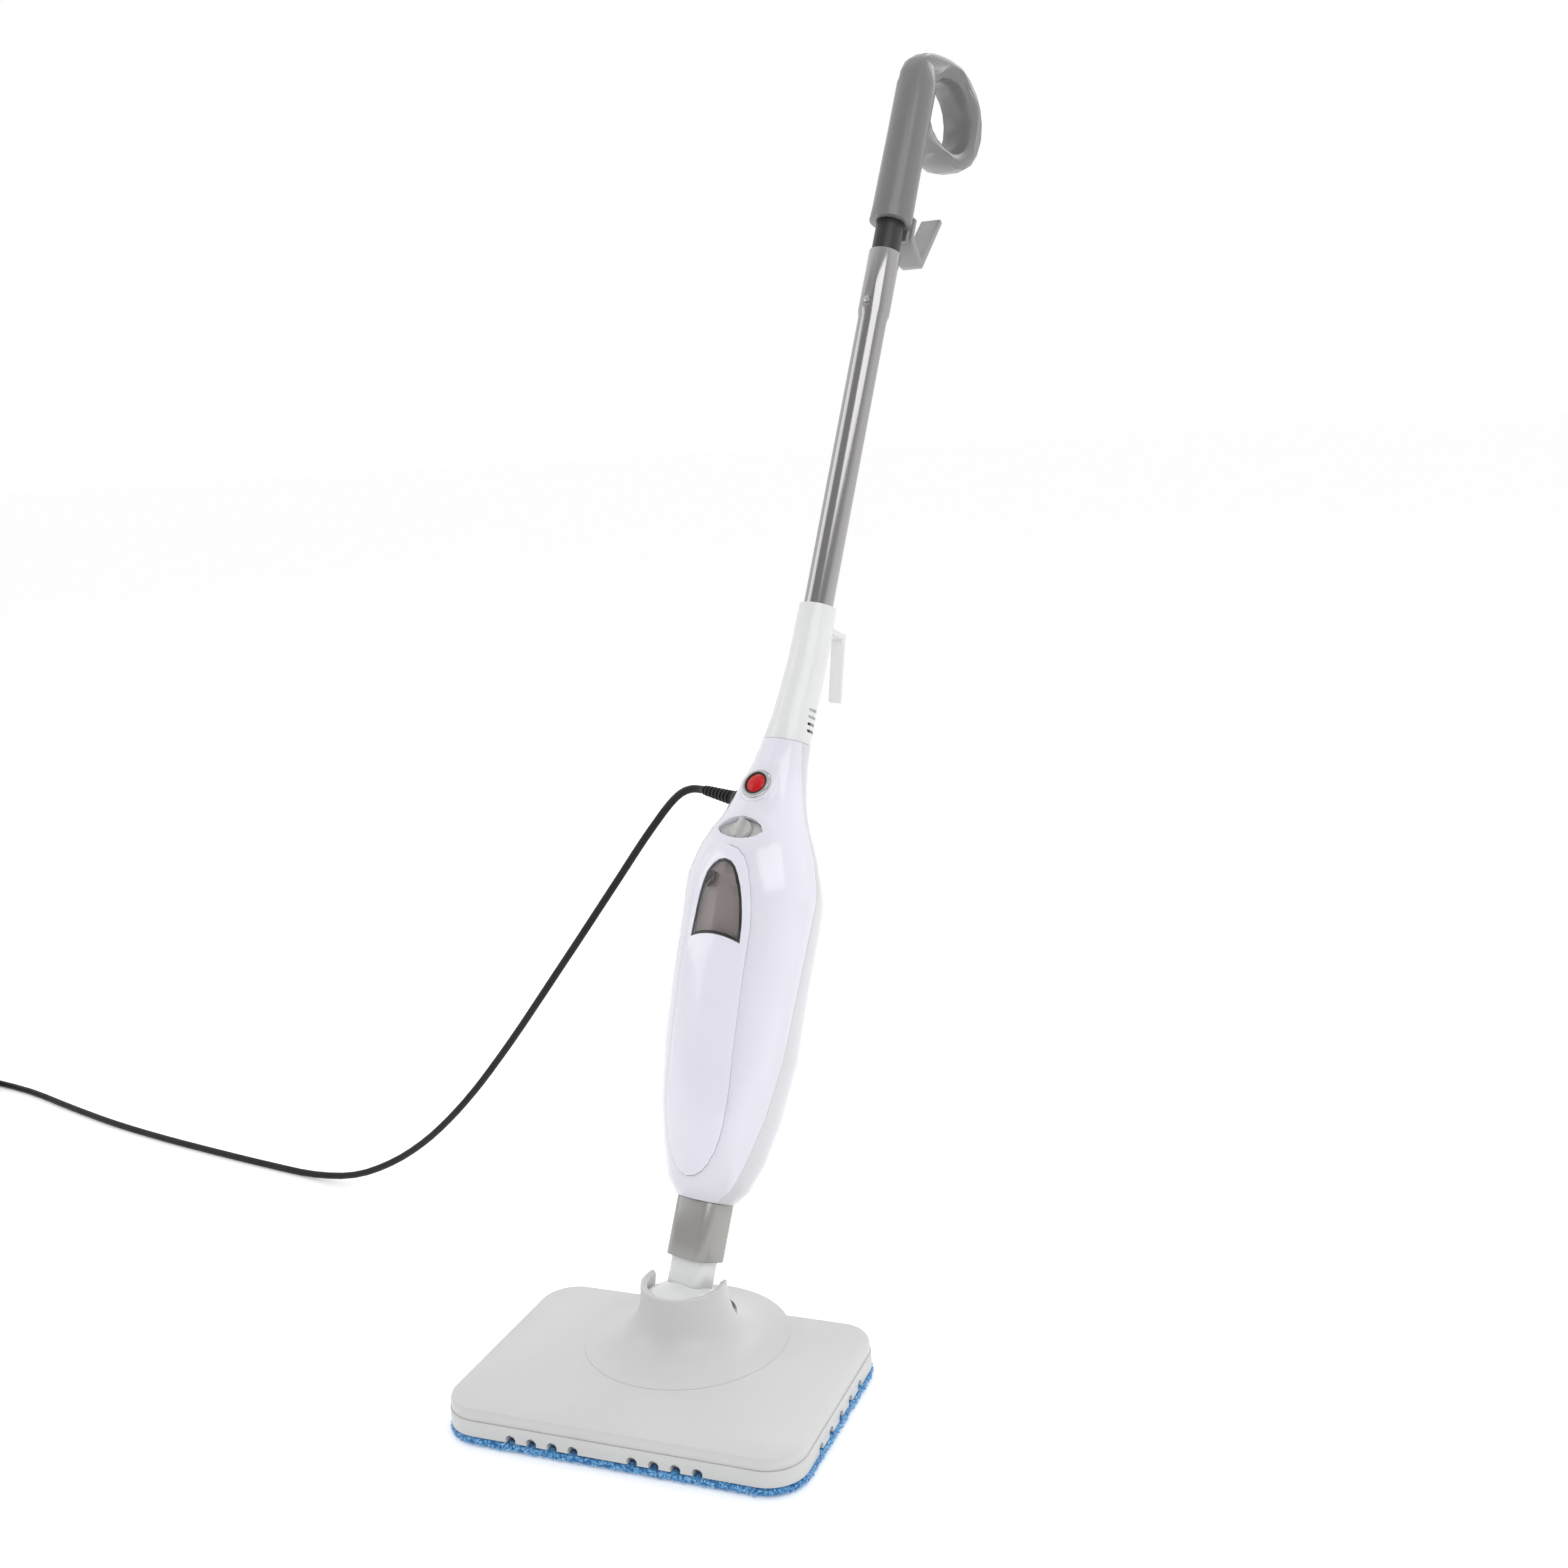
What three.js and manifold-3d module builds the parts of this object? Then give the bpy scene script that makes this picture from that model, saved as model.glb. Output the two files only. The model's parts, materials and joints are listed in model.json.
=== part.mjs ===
// A steam mop: a flat mop head on a swivel ball, a body with boiler, pump and tank, a two-part
// handle and a mains cord. Millimetres, +Z up. The origin is the middle of the mop pad's underside.
import * as THREE from "three";
import { mergeVertices } from "three/addons/utils/BufferGeometryUtils.js";
import Module from "manifold-3d";

const wasm = await Module();
wasm.setup();

// ---- Driving dimensions ----
const GAP = 0.3; // between pieces that touch
const LEAN = 24; // how far the mast leans back at rest, in degrees
const TURN = 14; // how far the mast is turned on the head at rest, in degrees

// Mop head
const HEAD_LENGTH = 300;
const HEAD_DEPTH = 205;
const HEAD_CORNER = 30;
const PAD_THICKNESS = 8;
const PAD_OVERHANG = 3.5;
const BASE_HEIGHT = 13;
const BASE_WALL = 3;
const BASE_FLOOR = 3.5;
const COVER_HEIGHT = 10;
const COVER_WALL = 2.5;
const COVER_ROUNDING = 3;
const VENT_RADIUS = 4.5;
const FRONT_VENT_PITCH = 18;
const FRONT_VENT_GROUPS = [-58, 46];
const SIDE_VENT_PITCH = 23;
const SCREW_INSET = 32;
const SCREW_HEAD_RADIUS = 3.6;
const SCREW_SHANK_RADIUS = 1.4;
const SCREW_HOLE_RADIUS = 1.8;
const BOSS_RADIUS = 5;

// Swivel
const PIVOT_BEHIND_CENTRE = 34;
const PIVOT_HEIGHT = 38;
const DOME_RADIUS = 46;
const DOME_WALL = 3;
const DOME_HALF_ANGLE = 50;
const COLLAR_BEHIND_PIVOT = 14;
const COLLAR_HEIGHT = 80;
const COLLAR_RADIUS = 35.5;
const COLLAR_THICKNESS = 4.5;
const COLLAR_SPREAD = 46;
const COLLAR_REAR_CUT = 74; // half angle of the low rear part of the collar, in degrees
const COLLAR_REAR_HEIGHT = 50;
const POST_RADIUS = 8;
const PIN_RADIUS = 3;
const ARM_THICKNESS = 5;
const NECK_WIDTH = 33;
const NECK_DEPTH = 31;
const NECK_CORNER = 9;
const NECK_TOP = 64;
const SPIGOT_RADIUS = 14;
const SLEEVE_LENGTH = 48.5;
const SLEEVE_WIDTH = 40.5;
const SLEEVE_DEPTH = 38.5;
const SLEEVE_CORNER = 10;
const STEAM_BORE = 6;
const STEAM_PIPE_RADIUS = 4.5;

// Body
const BODY_LENGTH = 389.5;
const BODY_WIDTH = 127;
const BODY_DEPTH = 102;
const BODY_WALL = 3;
const SPLIT_BEHIND_AXIS = -14;
const PANEL_HALF_WIDTH = 31;
const PANEL_DEPTH = 1.6;
const PANEL_PROUD = 0.9;
const PANEL_BOTTOM = 18; // above the body's lower end, as are the heights below
const WINDOW_BOTTOM = 211;
const WINDOW_TOP = 278;
const WINDOW_HALF_WIDTH = 25;
const WINDOW_LEDGE = 2.5;
const PANEL_ARCH = 12; // white left above the window
const DIAL_HEIGHT = 307;
const DIAL_OPENING_WIDTH = 46;
const DIAL_OPENING_HEIGHT = 25;
const DIAL_RADIUS = 10.5;
const BUTTON_HEIGHT = 346;
const BEZEL_RADIUS = 13.7;
const BUTTON_RADIUS = 8.6;
const BUTTON_TRAVEL = 2;
const CAP_HEIGHT = 236;
const CAP_RADIUS = 17;
const BOILER_RADIUS = 26;
const BOILER_LENGTH = 85;
const PUMP_SIZE = 34;
const PUMP_LENGTH = 42;
const TANK_LENGTH = 92;
const TANK_INSET = 7;
const TANK_WALL = 2.2;
const CORD_EXIT_HEIGHT = 335;
const CORD_EXIT_TILT = 8; // how far the strain relief points up, in degrees

// Handle
const SOCKET_LENGTH = 124;
const TUBE_RADIUS = 13;
const TUBE_WALL = 0.9;
const TUBE_LENGTH = 430;
const TUBE_IN_SOCKET = 100;
const SWAGE_RADIUS = 14.3;
const SWAGE_LENGTH = 58;
const INSERT_SHOWING = 29;
const INSERT_RADIUS = 12.6;
const GRIP_RADIUS = 19;
const GRIP_LENGTH = 100;
const LOOP_THICKNESS = 24;
const HOOK_WIDTH = 22;
const HOOK_THICKNESS = 4;

// Cord
const CORD_RADIUS = 3.5;
const COIL_MEAN_RADIUS = 40;
const COIL_BAND = 28;
const COIL_LIFT = 1.5;
const TIE_WIDTH = 12;
const TIE_THICKNESS = 1.2;
const TIE_CLEARANCE = 1;

// ---- Heights that follow ----
const COLLAR_Y = PIVOT_BEHIND_CENTRE + COLLAR_BEHIND_PIVOT;
const BASE_Z = PAD_THICKNESS + GAP;
const COVER_Z = BASE_Z + BASE_HEIGHT + GAP;
const COVER_TOP = COVER_Z + COVER_HEIGHT;
const SLEEVE_TOP = NECK_TOP + SLEEVE_LENGTH;
const BODY_Z = SLEEVE_TOP + GAP;
const BODY_TOP = BODY_Z + BODY_LENGTH;
const SOCKET_Z = BODY_TOP + GAP;
const SOCKET_TOP = SOCKET_Z + SOCKET_LENGTH;
const TUBE_Z = SOCKET_TOP - TUBE_IN_SOCKET;
const TUBE_TOP = TUBE_Z + TUBE_LENGTH;
const GRIP_Z = TUBE_TOP + INSERT_SHOWING;

// ---- Materials ----
function material(color, roughness, metalness = 0) {
  return new THREE.MeshStandardMaterial({ color, roughness, metalness });
}
const WHITE = material(0xf2f2f6, 0.35);
const HEAD_WHITE = material(0xdcdddd, 0.5);
const GREY = material(0x8d8c8a, 0.5);
const BLACK = material(0x161616, 0.55);
const STEEL = material(0x8c8a88, 0.25, 1);
const CHROME = material(0xd0d0d0, 0.1, 1);
const RED = material(0xc4141c, 0.2);
const SMOKE = material(0x3a3234, 0.1);
const BLUE = material(0x4aa0dc, 0.95);
const BRASS = material(0xb89a50, 0.35, 1);
const CAST = material(0xa8aaac, 0.55, 1);

// ---- Solid helpers ----
function solid(geometry) {
  const plain = new THREE.BufferGeometry();
  const flat = geometry.index ? geometry.toNonIndexed() : geometry;
  plain.setAttribute("position", flat.getAttribute("position").clone());
  const merged = mergeVertices(plain, 1e-3);
  const corners = [];
  for (let i = 0; i < merged.index.count; i += 3) {
    const [a, b, c] = [0, 1, 2].map((k) => merged.index.getX(i + k));
    if (a !== b && b !== c && c !== a) corners.push(a, b, c);
  }
  const make = (list) =>
    new wasm.Manifold(
      new wasm.Mesh({
        numProp: 3,
        vertProperties: new Float32Array(merged.attributes.position.array),
        triVerts: new Uint32Array(list),
      }),
    );
  const made = make(corners);
  return made.volume() < 0 ? make(corners.reverse()) : made;
}

function addMesh(group, name, shape, look) {
  const made = shape.getMesh();
  const geometry = new THREE.BufferGeometry();
  geometry.setAttribute("position", new THREE.BufferAttribute(made.vertProperties, 3));
  geometry.setIndex(new THREE.BufferAttribute(made.triVerts, 1));
  geometry.computeVertexNormals();
  const mesh = new THREE.Mesh(geometry, look);
  mesh.name = name;
  group.add(mesh);
}

function joined(shapes) {
  return shapes.reduce((all, one) => all.add(one));
}

function cut(shape, cutters) {
  return cutters.reduce((left, one) => left.subtract(one), shape);
}

// A rod along Z, or moved by a matrix.
function rod(radius, z0, z1, { x = 0, y = 0, segments = 24, top = radius, frame } = {}) {
  const geometry = new THREE.CylinderGeometry(top, radius, z1 - z0, segments);
  geometry.rotateX(Math.PI / 2).translate(x, y, (z0 + z1) / 2);
  return solid(frame ? geometry.applyMatrix4(frame) : geometry);
}

function ring(outer, inner, z0, z1, options = {}) {
  return rod(outer, z0, z1, options).subtract(rod(inner, z0 - 1, z1 + 1, options));
}

// A turned solid about Z from points of (radius, height).
function turned(points, segments = 32) {
  const profile = points.map(([r, z]) => new THREE.Vector2(r, z));
  return solid(new THREE.LatheGeometry(profile, segments).rotateX(Math.PI / 2));
}

function block(x0, x1, y0, y1, z0, z1, frame) {
  const geometry = new THREE.BoxGeometry(x1 - x0, y1 - y0, z1 - z0);
  geometry.translate((x0 + x1) / 2, (y0 + y1) / 2, (z0 + z1) / 2);
  return solid(frame ? geometry.applyMatrix4(frame) : geometry);
}

function roundedOutline(width, depth, corner) {
  const [x, y] = [width / 2 - corner, depth / 2 - corner];
  const outline = new THREE.Shape();
  outline.absarc(x, y, corner, 0, Math.PI / 2);
  outline.absarc(-x, y, corner, Math.PI / 2, Math.PI);
  outline.absarc(-x, -y, corner, Math.PI, 1.5 * Math.PI);
  outline.absarc(x, -y, corner, 1.5 * Math.PI, 2 * Math.PI);
  outline.closePath();
  return outline;
}

// A plate with rounded corners, its upper edge rounded where a rounding is given.
function plate(width, depth, corner, z0, z1, rounding = 0) {
  const geometry = new THREE.ExtrudeGeometry(
    roundedOutline(width - 2 * rounding, depth - 2 * rounding, corner - rounding),
    {
      depth: z1 - z0 - rounding,
      curveSegments: 5,
      bevelEnabled: rounding > 0,
      bevelSize: rounding,
      bevelThickness: rounding,
      bevelSegments: 2,
    },
  );
  const made = solid(geometry.translate(0, 0, z0));
  const side = plateSize(width, depth);
  return rounding ? made.subtract(block(-side, side, -side, side, z0 - side, z0)) : made;
}

function plateSize(width, depth) {
  return width + depth;
}

// Extrudes an outline drawn in X and height along Y, from y0 to y1.
function acrossY(outline, y0, y1, curveSegments = 8) {
  const options = { depth: y1 - y0, bevelEnabled: false, curveSegments };
  const geometry = new THREE.ExtrudeGeometry(outline, options);
  return solid(geometry.rotateX(Math.PI / 2).translate(0, y1, 0));
}

// Extrudes an outline drawn in Y and height along X, centred, with rounded edges.
function acrossX(outline, width, rounding, bevelSegments = 2) {
  const geometry = new THREE.ExtrudeGeometry(outline, {
    depth: width - 2 * rounding,
    bevelEnabled: rounding > 0,
    bevelSize: rounding,
    bevelOffset: -rounding,
    bevelThickness: rounding,
    bevelSegments,
    curveSegments: 5,
  });
  const turn = new THREE.Matrix4().makeBasis(
    new THREE.Vector3(0, 1, 0),
    new THREE.Vector3(0, 0, 1),
    new THREE.Vector3(1, 0, 0),
  );
  return solid(geometry.applyMatrix4(turn).translate(rounding - width / 2, 0, 0));
}

function smoothPath(points, closed = false) {
  const list = points.map((p) => new THREE.Vector3(...p));
  return new THREE.CatmullRomCurve3(list, closed, "centripetal");
}

function sweep(path, radius, steps, sides = 8) {
  const section = new THREE.Shape();
  for (let i = 0; i < sides; i++) {
    const angle = (2 * Math.PI * i) / sides;
    const point = [radius * Math.cos(angle), radius * Math.sin(angle)];
    if (i) section.lineTo(...point);
    else section.moveTo(...point);
  }
  section.closePath();
  return solid(new THREE.ExtrudeGeometry(section, { steps, extrudePath: path, curveSegments: 1 }));
}

// ---- Body section ----
// Each row: height as a share of the body's length, half width and half depth as shares of the
// largest, and how far the section's centre sits in front of the mast's axis.
const BODY_ROWS = [
  [0, 0.41, 0.47, 0],
  [0.03, 0.57, 0.61, 0],
  [0.098, 0.73, 0.75, 0],
  [0.19, 0.865, 0.87, 2.5],
  [0.32, 0.96, 0.955, 5],
  [0.485, 0.98, 0.98, 10],
  [0.585, 0.992, 0.99, 11],
  [0.645, 1, 1, 13],
  [0.68, 0.975, 0.975, 15.5],
  [0.715, 0.91, 0.92, 17],
  [0.747, 0.845, 0.855, 18],
  [0.78, 0.75, 0.765, 18],
  [0.812, 0.645, 0.66, 17],
  [0.845, 0.56, 0.58, 16],
  [0.88, 0.488, 0.51, 14.5],
  [0.947, 0.385, 0.43, 10.5],
  [1, 0.335, 0.392, 8],
];
const SOCKET_ROWS = [
  [0.16, 19, 19, 5],
  [0.37, 18, 18, 2.5],
  [0.6, 17.3, 17.3, 0],
  [1, 16.5, 16.5, 0],
];
const SECTIONS = [
  ...BODY_ROWS.map(([share, a, b, forward]) => ({
    z: BODY_Z + share * BODY_LENGTH,
    a: (a * BODY_WIDTH) / 2,
    b: (b * BODY_DEPTH) / 2,
    forward,
  })),
  ...SOCKET_ROWS.map(([share, a, b, forward]) => ({
    z: SOCKET_Z + share * SOCKET_LENGTH,
    a: Math.max(a, TUBE_RADIUS + BODY_WALL),
    b: Math.max(b, TUBE_RADIUS + BODY_WALL),
    forward,
  })),
];

function sectionAt(z) {
  const last = SECTIONS.length - 1;
  let i = SECTIONS.findIndex((s) => s.z > z);
  if (i === 0) return SECTIONS[0];
  if (i < 0) return SECTIONS[last];
  const [low, high] = [SECTIONS[i - 1], SECTIONS[i]];
  const t = (z - low.z) / (high.z - low.z);
  const mix = (key) => low[key] + t * (high[key] - low[key]);
  return { a: mix("a"), b: mix("b"), forward: mix("forward") };
}

// The body's outer form between two heights, grown or shrunk by a margin.
function bodyForm(margin, z0, z1, segments = 28) {
  const between = SECTIONS.map((s) => s.z).filter((z) => z > z0 + 1 && z < z1 - 1);
  const heights = [z0, ...between, z1];
  const profile = [
    new THREE.Vector2(0, z0),
    ...heights.map((z) => new THREE.Vector2(1, z)),
    new THREE.Vector2(0, z1),
  ];
  const geometry = new THREE.LatheGeometry(profile, segments).rotateX(Math.PI / 2);
  const place = geometry.getAttribute("position");
  for (let i = 0; i < place.count; i++) {
    const s = sectionAt(place.getZ(i));
    place.setX(i, place.getX(i) * (s.a + margin));
    place.setY(i, place.getY(i) * (s.b + margin) - s.forward);
  }
  return solid(geometry);
}

// The frame of a control on the body's front: its Z points out of the surface.
function frontFrame(z, sink = 0) {
  const front = (h) => sectionAt(h).b + sectionAt(h).forward;
  const slope = Math.atan2(front(z - 8) - front(z + 8), 16);
  return new THREE.Matrix4()
    .makeRotationX(Math.PI / 2 - slope)
    .setPosition(0, -front(z) + sink, z);
}

// ---- Mop head ----
const HEAD_CENTRE_TO_SCREW_X = HEAD_LENGTH / 2 - SCREW_INSET;
const HEAD_CENTRE_TO_SCREW_Y = HEAD_DEPTH / 2 - SCREW_INSET;
const HEAD_SCREWS = [
  ["front_left", -1, -1],
  ["front_right", 1, -1],
  ["rear_left", -1, 1],
  ["rear_right", 1, 1],
].map(([place, sx, sy]) => ({
  place,
  x: sx * HEAD_CENTRE_TO_SCREW_X,
  y: sy * HEAD_CENTRE_TO_SCREW_Y,
}));

function mopPad() {
  const [width, depth] = [HEAD_LENGTH + 2 * PAD_OVERHANG, HEAD_DEPTH + 2 * PAD_OVERHANG];
  return plate(width, depth, HEAD_CORNER + PAD_OVERHANG, 0, PAD_THICKNESS);
}

function ventCutters() {
  const cutters = [];
  const z = BASE_Z + VENT_RADIUS * 0.45;
  for (const middle of FRONT_VENT_GROUPS)
    for (let i = 0; i < 4; i++) {
      const x = middle + (i - 1.5) * FRONT_VENT_PITCH;
      const frame = new THREE.Matrix4().makeRotationX(Math.PI / 2).setPosition(x, 0, z);
      const front = HEAD_DEPTH / 2;
      cutters.push(rod(VENT_RADIUS, front - 2 * BASE_WALL, front + 9, { frame, segments: 10 }));
    }
  for (const side of [-1, 1])
    for (let i = 0; i < 5; i++) {
      const y = (i - 2) * SIDE_VENT_PITCH;
      const frame = new THREE.Matrix4().makeRotationY((side * Math.PI) / 2).setPosition(0, y, z);
      const end = HEAD_LENGTH / 2;
      cutters.push(rod(VENT_RADIUS, end - 2 * BASE_WALL, end + 9, { frame, segments: 10 }));
    }
  return cutters;
}

function basePlate() {
  const top = BASE_Z + BASE_HEIGHT;
  const [length, depth] = [HEAD_LENGTH + 2, HEAD_DEPTH + 2];
  const corner = HEAD_CORNER + 1;
  const tray = plate(length, depth, corner, BASE_Z, top).subtract(
    plate(length - 2 * BASE_WALL, depth - 2 * BASE_WALL, corner - BASE_WALL, BASE_Z + BASE_FLOOR, top + 5),
  );
  const bearing = rod(POST_RADIUS + BASE_WALL + 3, BASE_Z, BASE_Z + 9, { y: PIVOT_BEHIND_CENTRE });
  const bearingHole = rod(POST_RADIUS - 2 + GAP, BASE_Z - 1, top, { y: PIVOT_BEHIND_CENTRE });
  const screwHoles = HEAD_SCREWS.flatMap(({ x, y }) => [
    rod(SCREW_HOLE_RADIUS, BASE_Z - 1, BASE_Z + 6, { x, y, segments: 8 }),
    rod(SCREW_HEAD_RADIUS + GAP, BASE_Z - 1, BASE_Z + 2, { x, y, segments: 12 }),
  ]);
  const steamHoles = [-60, -30, 30, 60].map((x) =>
    rod(2.5, BASE_Z - 1, BASE_Z + 6, { x, y: -40, segments: 10 }),
  );
  return cut(tray.add(bearing), [bearingHole, ...ventCutters(), ...screwHoles, ...steamHoles]);
}

// The collar around the dome spreads into the cover in a hollow curve.
function collarForm(inset, rows, segments) {
  const rise = COLLAR_HEIGHT - COVER_TOP;
  const curve = [];
  for (let i = 0; i <= rows; i++) {
    const t = i / rows;
    const radius = COLLAR_RADIUS + COLLAR_SPREAD * t ** 2.2 + 4 * t;
    curve.push(new THREE.Vector2(radius - inset, COVER_TOP + rise * (1 - t) ** 2.1 - 0.6 * inset));
  }
  const floor = inset ? COVER_Z : COVER_TOP - COVER_WALL;
  const profile = [
    new THREE.Vector2(0, curve[0].y + 2 * inset),
    new THREE.Vector2(curve[0].x, curve[0].y + 2 * inset),
    ...curve,
    new THREE.Vector2(curve[rows].x, floor),
    new THREE.Vector2(0, floor),
  ];
  const geometry = new THREE.LatheGeometry(profile, segments).rotateX(Math.PI / 2);
  return solid(geometry.translate(0, COLLAR_Y, 0));
}

function headCover() {
  const pocket = plate(
    HEAD_LENGTH - 2 * COVER_WALL,
    HEAD_DEPTH - 2 * COVER_WALL,
    HEAD_CORNER - COVER_WALL,
    COVER_Z - 5,
    COVER_TOP - COVER_WALL,
  );
  const top = plate(HEAD_LENGTH, HEAD_DEPTH, HEAD_CORNER, COVER_Z, COVER_TOP, COVER_ROUNDING);
  const bosses = HEAD_SCREWS.map(({ x, y }) =>
    rod(BOSS_RADIUS, BASE_Z + BASE_FLOOR + GAP, COVER_TOP - COVER_WALL + 1, { x, y, segments: 14 }),
  );
  const pilots = HEAD_SCREWS.map(({ x, y }) =>
    rod(SCREW_HOLE_RADIUS, BASE_Z, COVER_TOP - COVER_WALL - 2, { x, y, segments: 8 }),
  );
  const seat = solid(
    new THREE.SphereGeometry(DOME_RADIUS + 2 * GAP, 28, 14)
      .rotateX(Math.PI / 2)
      .translate(0, PIVOT_BEHIND_CENTRE, PIVOT_HEIGHT),
  );
  const flare = collarForm(0, 7, 28);
  const hollow = collarForm(COLLAR_THICKNESS, 4, 20);
  const keep = block(-HEAD_LENGTH, HEAD_LENGTH, -HEAD_DEPTH, HEAD_DEPTH / 2 - 1, COVER_Z, 100);
  const shell = cut(top.add(flare.intersect(keep)), [pocket, hollow, seat, rearNotch()]);
  return cut(joined([shell, ...bosses]), pilots);
}

// The collar is cut low behind the dome, so that the mast can lie back.
function rearNotch() {
  const reach = COLLAR_RADIUS + COLLAR_SPREAD;
  const half = THREE.MathUtils.degToRad(COLLAR_REAR_CUT);
  const wedge = new THREE.Shape();
  wedge.moveTo(0, 0);
  wedge.lineTo(reach * Math.sin(half), reach * Math.cos(half));
  wedge.lineTo(reach, reach * 1.6);
  wedge.lineTo(-reach, reach * 1.6);
  wedge.lineTo(-reach * Math.sin(half), reach * Math.cos(half));
  wedge.closePath();
  const cutter = new THREE.ExtrudeGeometry(wedge, { depth: reach, bevelEnabled: false });
  return solid(cutter.translate(0, COLLAR_Y, COLLAR_REAR_HEIGHT));
}

function headScrew({ x, y }) {
  const head = rod(SCREW_HEAD_RADIUS, BASE_Z + GAP, BASE_Z + 1.7, { x, y, segments: 12 });
  const shank = rod(SCREW_SHANK_RADIUS, BASE_Z + 1.5, BASE_Z + 13, { x, y, segments: 8 });
  return head.add(shank);
}

// The steam spreader sits on the base plate and feeds its steam holes.
function steamSpreader() {
  const z = BASE_Z + BASE_FLOOR + GAP;
  const box = block(-68, 68, -50, -22, z, z + 6);
  const hollow = block(-65, 65, -47, -25, z - 1, z + 4);
  const inlet = rod(4, z + 5, z + 9, { y: -30, segments: 12 });
  return cut(box.add(inlet), [hollow, rod(2, z, z + 12, { y: -30, segments: 10 })]);
}

// ---- Swivel ----
// The post turns in the base plate. Its eye holds the tilt pin that the dome's arms hang on.
function swivelPost() {
  const shaft = rod(POST_RADIUS - 2, BASE_Z + GAP, BASE_Z + 11, { segments: 18 });
  const post = rod(POST_RADIUS, BASE_Z + 9 + GAP, PIVOT_HEIGHT, { segments: 18 });
  const eyeTurn = new THREE.Matrix4().makeRotationY(Math.PI / 2).setPosition(0, 0, PIVOT_HEIGHT);
  const eye = rod(POST_RADIUS, -POST_RADIUS, POST_RADIUS, { frame: eyeTurn, segments: 18 });
  const eyeHole = rod(PIN_RADIUS + GAP, -20, 20, { frame: eyeTurn, segments: 12 });
  const steamWay = rod(3, BASE_Z - 1, PIVOT_HEIGHT - 8, { segments: 10 });
  return cut(joined([shaft, post, eye]), [eyeHole, steamWay]);
}

const ARM_INSIDE = POST_RADIUS + 1;
function tiltPin() {
  const turn = new THREE.Matrix4().makeRotationY(Math.PI / 2);
  const end = ARM_INSIDE + ARM_THICKNESS + 1;
  return rod(PIN_RADIUS, -end, end, { frame: turn, segments: 12 });
}

// A cap of a hollow sphere about the pivot, with two arms down to the tilt pin.
function swivelDome() {
  const half = THREE.MathUtils.degToRad(DOME_HALF_ANGLE);
  const inside = DOME_RADIUS - DOME_WALL;
  const arc = (r, angle) => new THREE.Vector2(r * Math.sin(angle), r * Math.cos(angle));
  const profile = [];
  for (let i = 0; i <= 7; i++) profile.push(arc(DOME_RADIUS, (half * i) / 7));
  for (let i = 5; i >= 0; i--) profile.push(arc(inside, (half * i) / 5));
  const cap = solid(new THREE.LatheGeometry(profile, 28).rotateX(Math.PI / 2));
  const turn = new THREE.Matrix4().makeRotationY(Math.PI / 2);
  const holes = rod(PIN_RADIUS + GAP, -30, 30, { frame: turn, segments: 12 });
  const arms = [-1, 1].flatMap((side) => {
    const [near, far] = [side * ARM_INSIDE, side * (ARM_INSIDE + ARM_THICKNESS)];
    const [x0, x1] = [Math.min(near, far), Math.max(near, far)];
    const eye = rod(8, x0, x1, { frame: turn, segments: 16 });
    return [eye, block(x0, x1, -8, 8, 0, inside - 1)];
  });
  const bore = rod(STEAM_BORE, DOME_RADIUS - 6, DOME_RADIUS + 5, { segments: 14 });
  return cut(joined([cap, ...arms]), [holes, bore]);
}

function neck() {
  const seat = solid(new THREE.SphereGeometry(DOME_RADIUS + GAP, 28, 14).rotateX(Math.PI / 2));
  const low = plate(NECK_WIDTH, NECK_DEPTH, NECK_CORNER, DOME_RADIUS - 8, NECK_TOP - GAP);
  const spigot = rod(SPIGOT_RADIUS, NECK_TOP - 2, SLEEVE_TOP - 8);
  return cut(low.add(spigot), [seat, rod(STEAM_BORE, 0, SLEEVE_TOP + 5, { segments: 14 })]);
}

function couplingSleeve() {
  const outside = plate(SLEEVE_WIDTH, SLEEVE_DEPTH, SLEEVE_CORNER, NECK_TOP, SLEEVE_TOP);
  return outside.subtract(rod(SPIGOT_RADIUS + GAP, NECK_TOP - 1, SLEEVE_TOP + 1));
}

// ---- Body shells and front ----
function tongueOutline(margin) {
  const bottom = BODY_Z + PANEL_BOTTOM - margin;
  const top = BODY_Z + WINDOW_TOP + PANEL_ARCH + margin;
  const wide = PANEL_HALF_WIDTH + margin;
  const narrow = wide * 0.8;
  const outline = new THREE.Shape();
  outline.moveTo(0, bottom);
  outline.bezierCurveTo(wide * 0.62, bottom, wide, bottom + 36, wide, bottom + 78);
  outline.lineTo(wide, bottom + 190);
  outline.bezierCurveTo(wide, bottom + 225, narrow + 3, top - 2, 0, top);
  outline.bezierCurveTo(-narrow - 3, top - 2, -wide, bottom + 225, -wide, bottom + 190);
  outline.lineTo(-wide, bottom + 78);
  outline.bezierCurveTo(-wide, bottom + 36, -wide * 0.62, bottom, 0, bottom);
  return outline;
}

function windowOutline(margin) {
  const [bottom, top] = [BODY_Z + WINDOW_BOTTOM - margin, BODY_Z + WINDOW_TOP + margin];
  const wide = WINDOW_HALF_WIDTH + margin;
  const outline = new THREE.Shape();
  outline.moveTo(-wide, bottom);
  outline.quadraticCurveTo(0, bottom + 9, wide, bottom);
  outline.bezierCurveTo(wide - 1, bottom + 34, wide - 7, top, 0, top);
  outline.bezierCurveTo(7 - wide, top, 1 - wide, bottom + 34, -wide, bottom);
  return outline;
}

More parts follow.
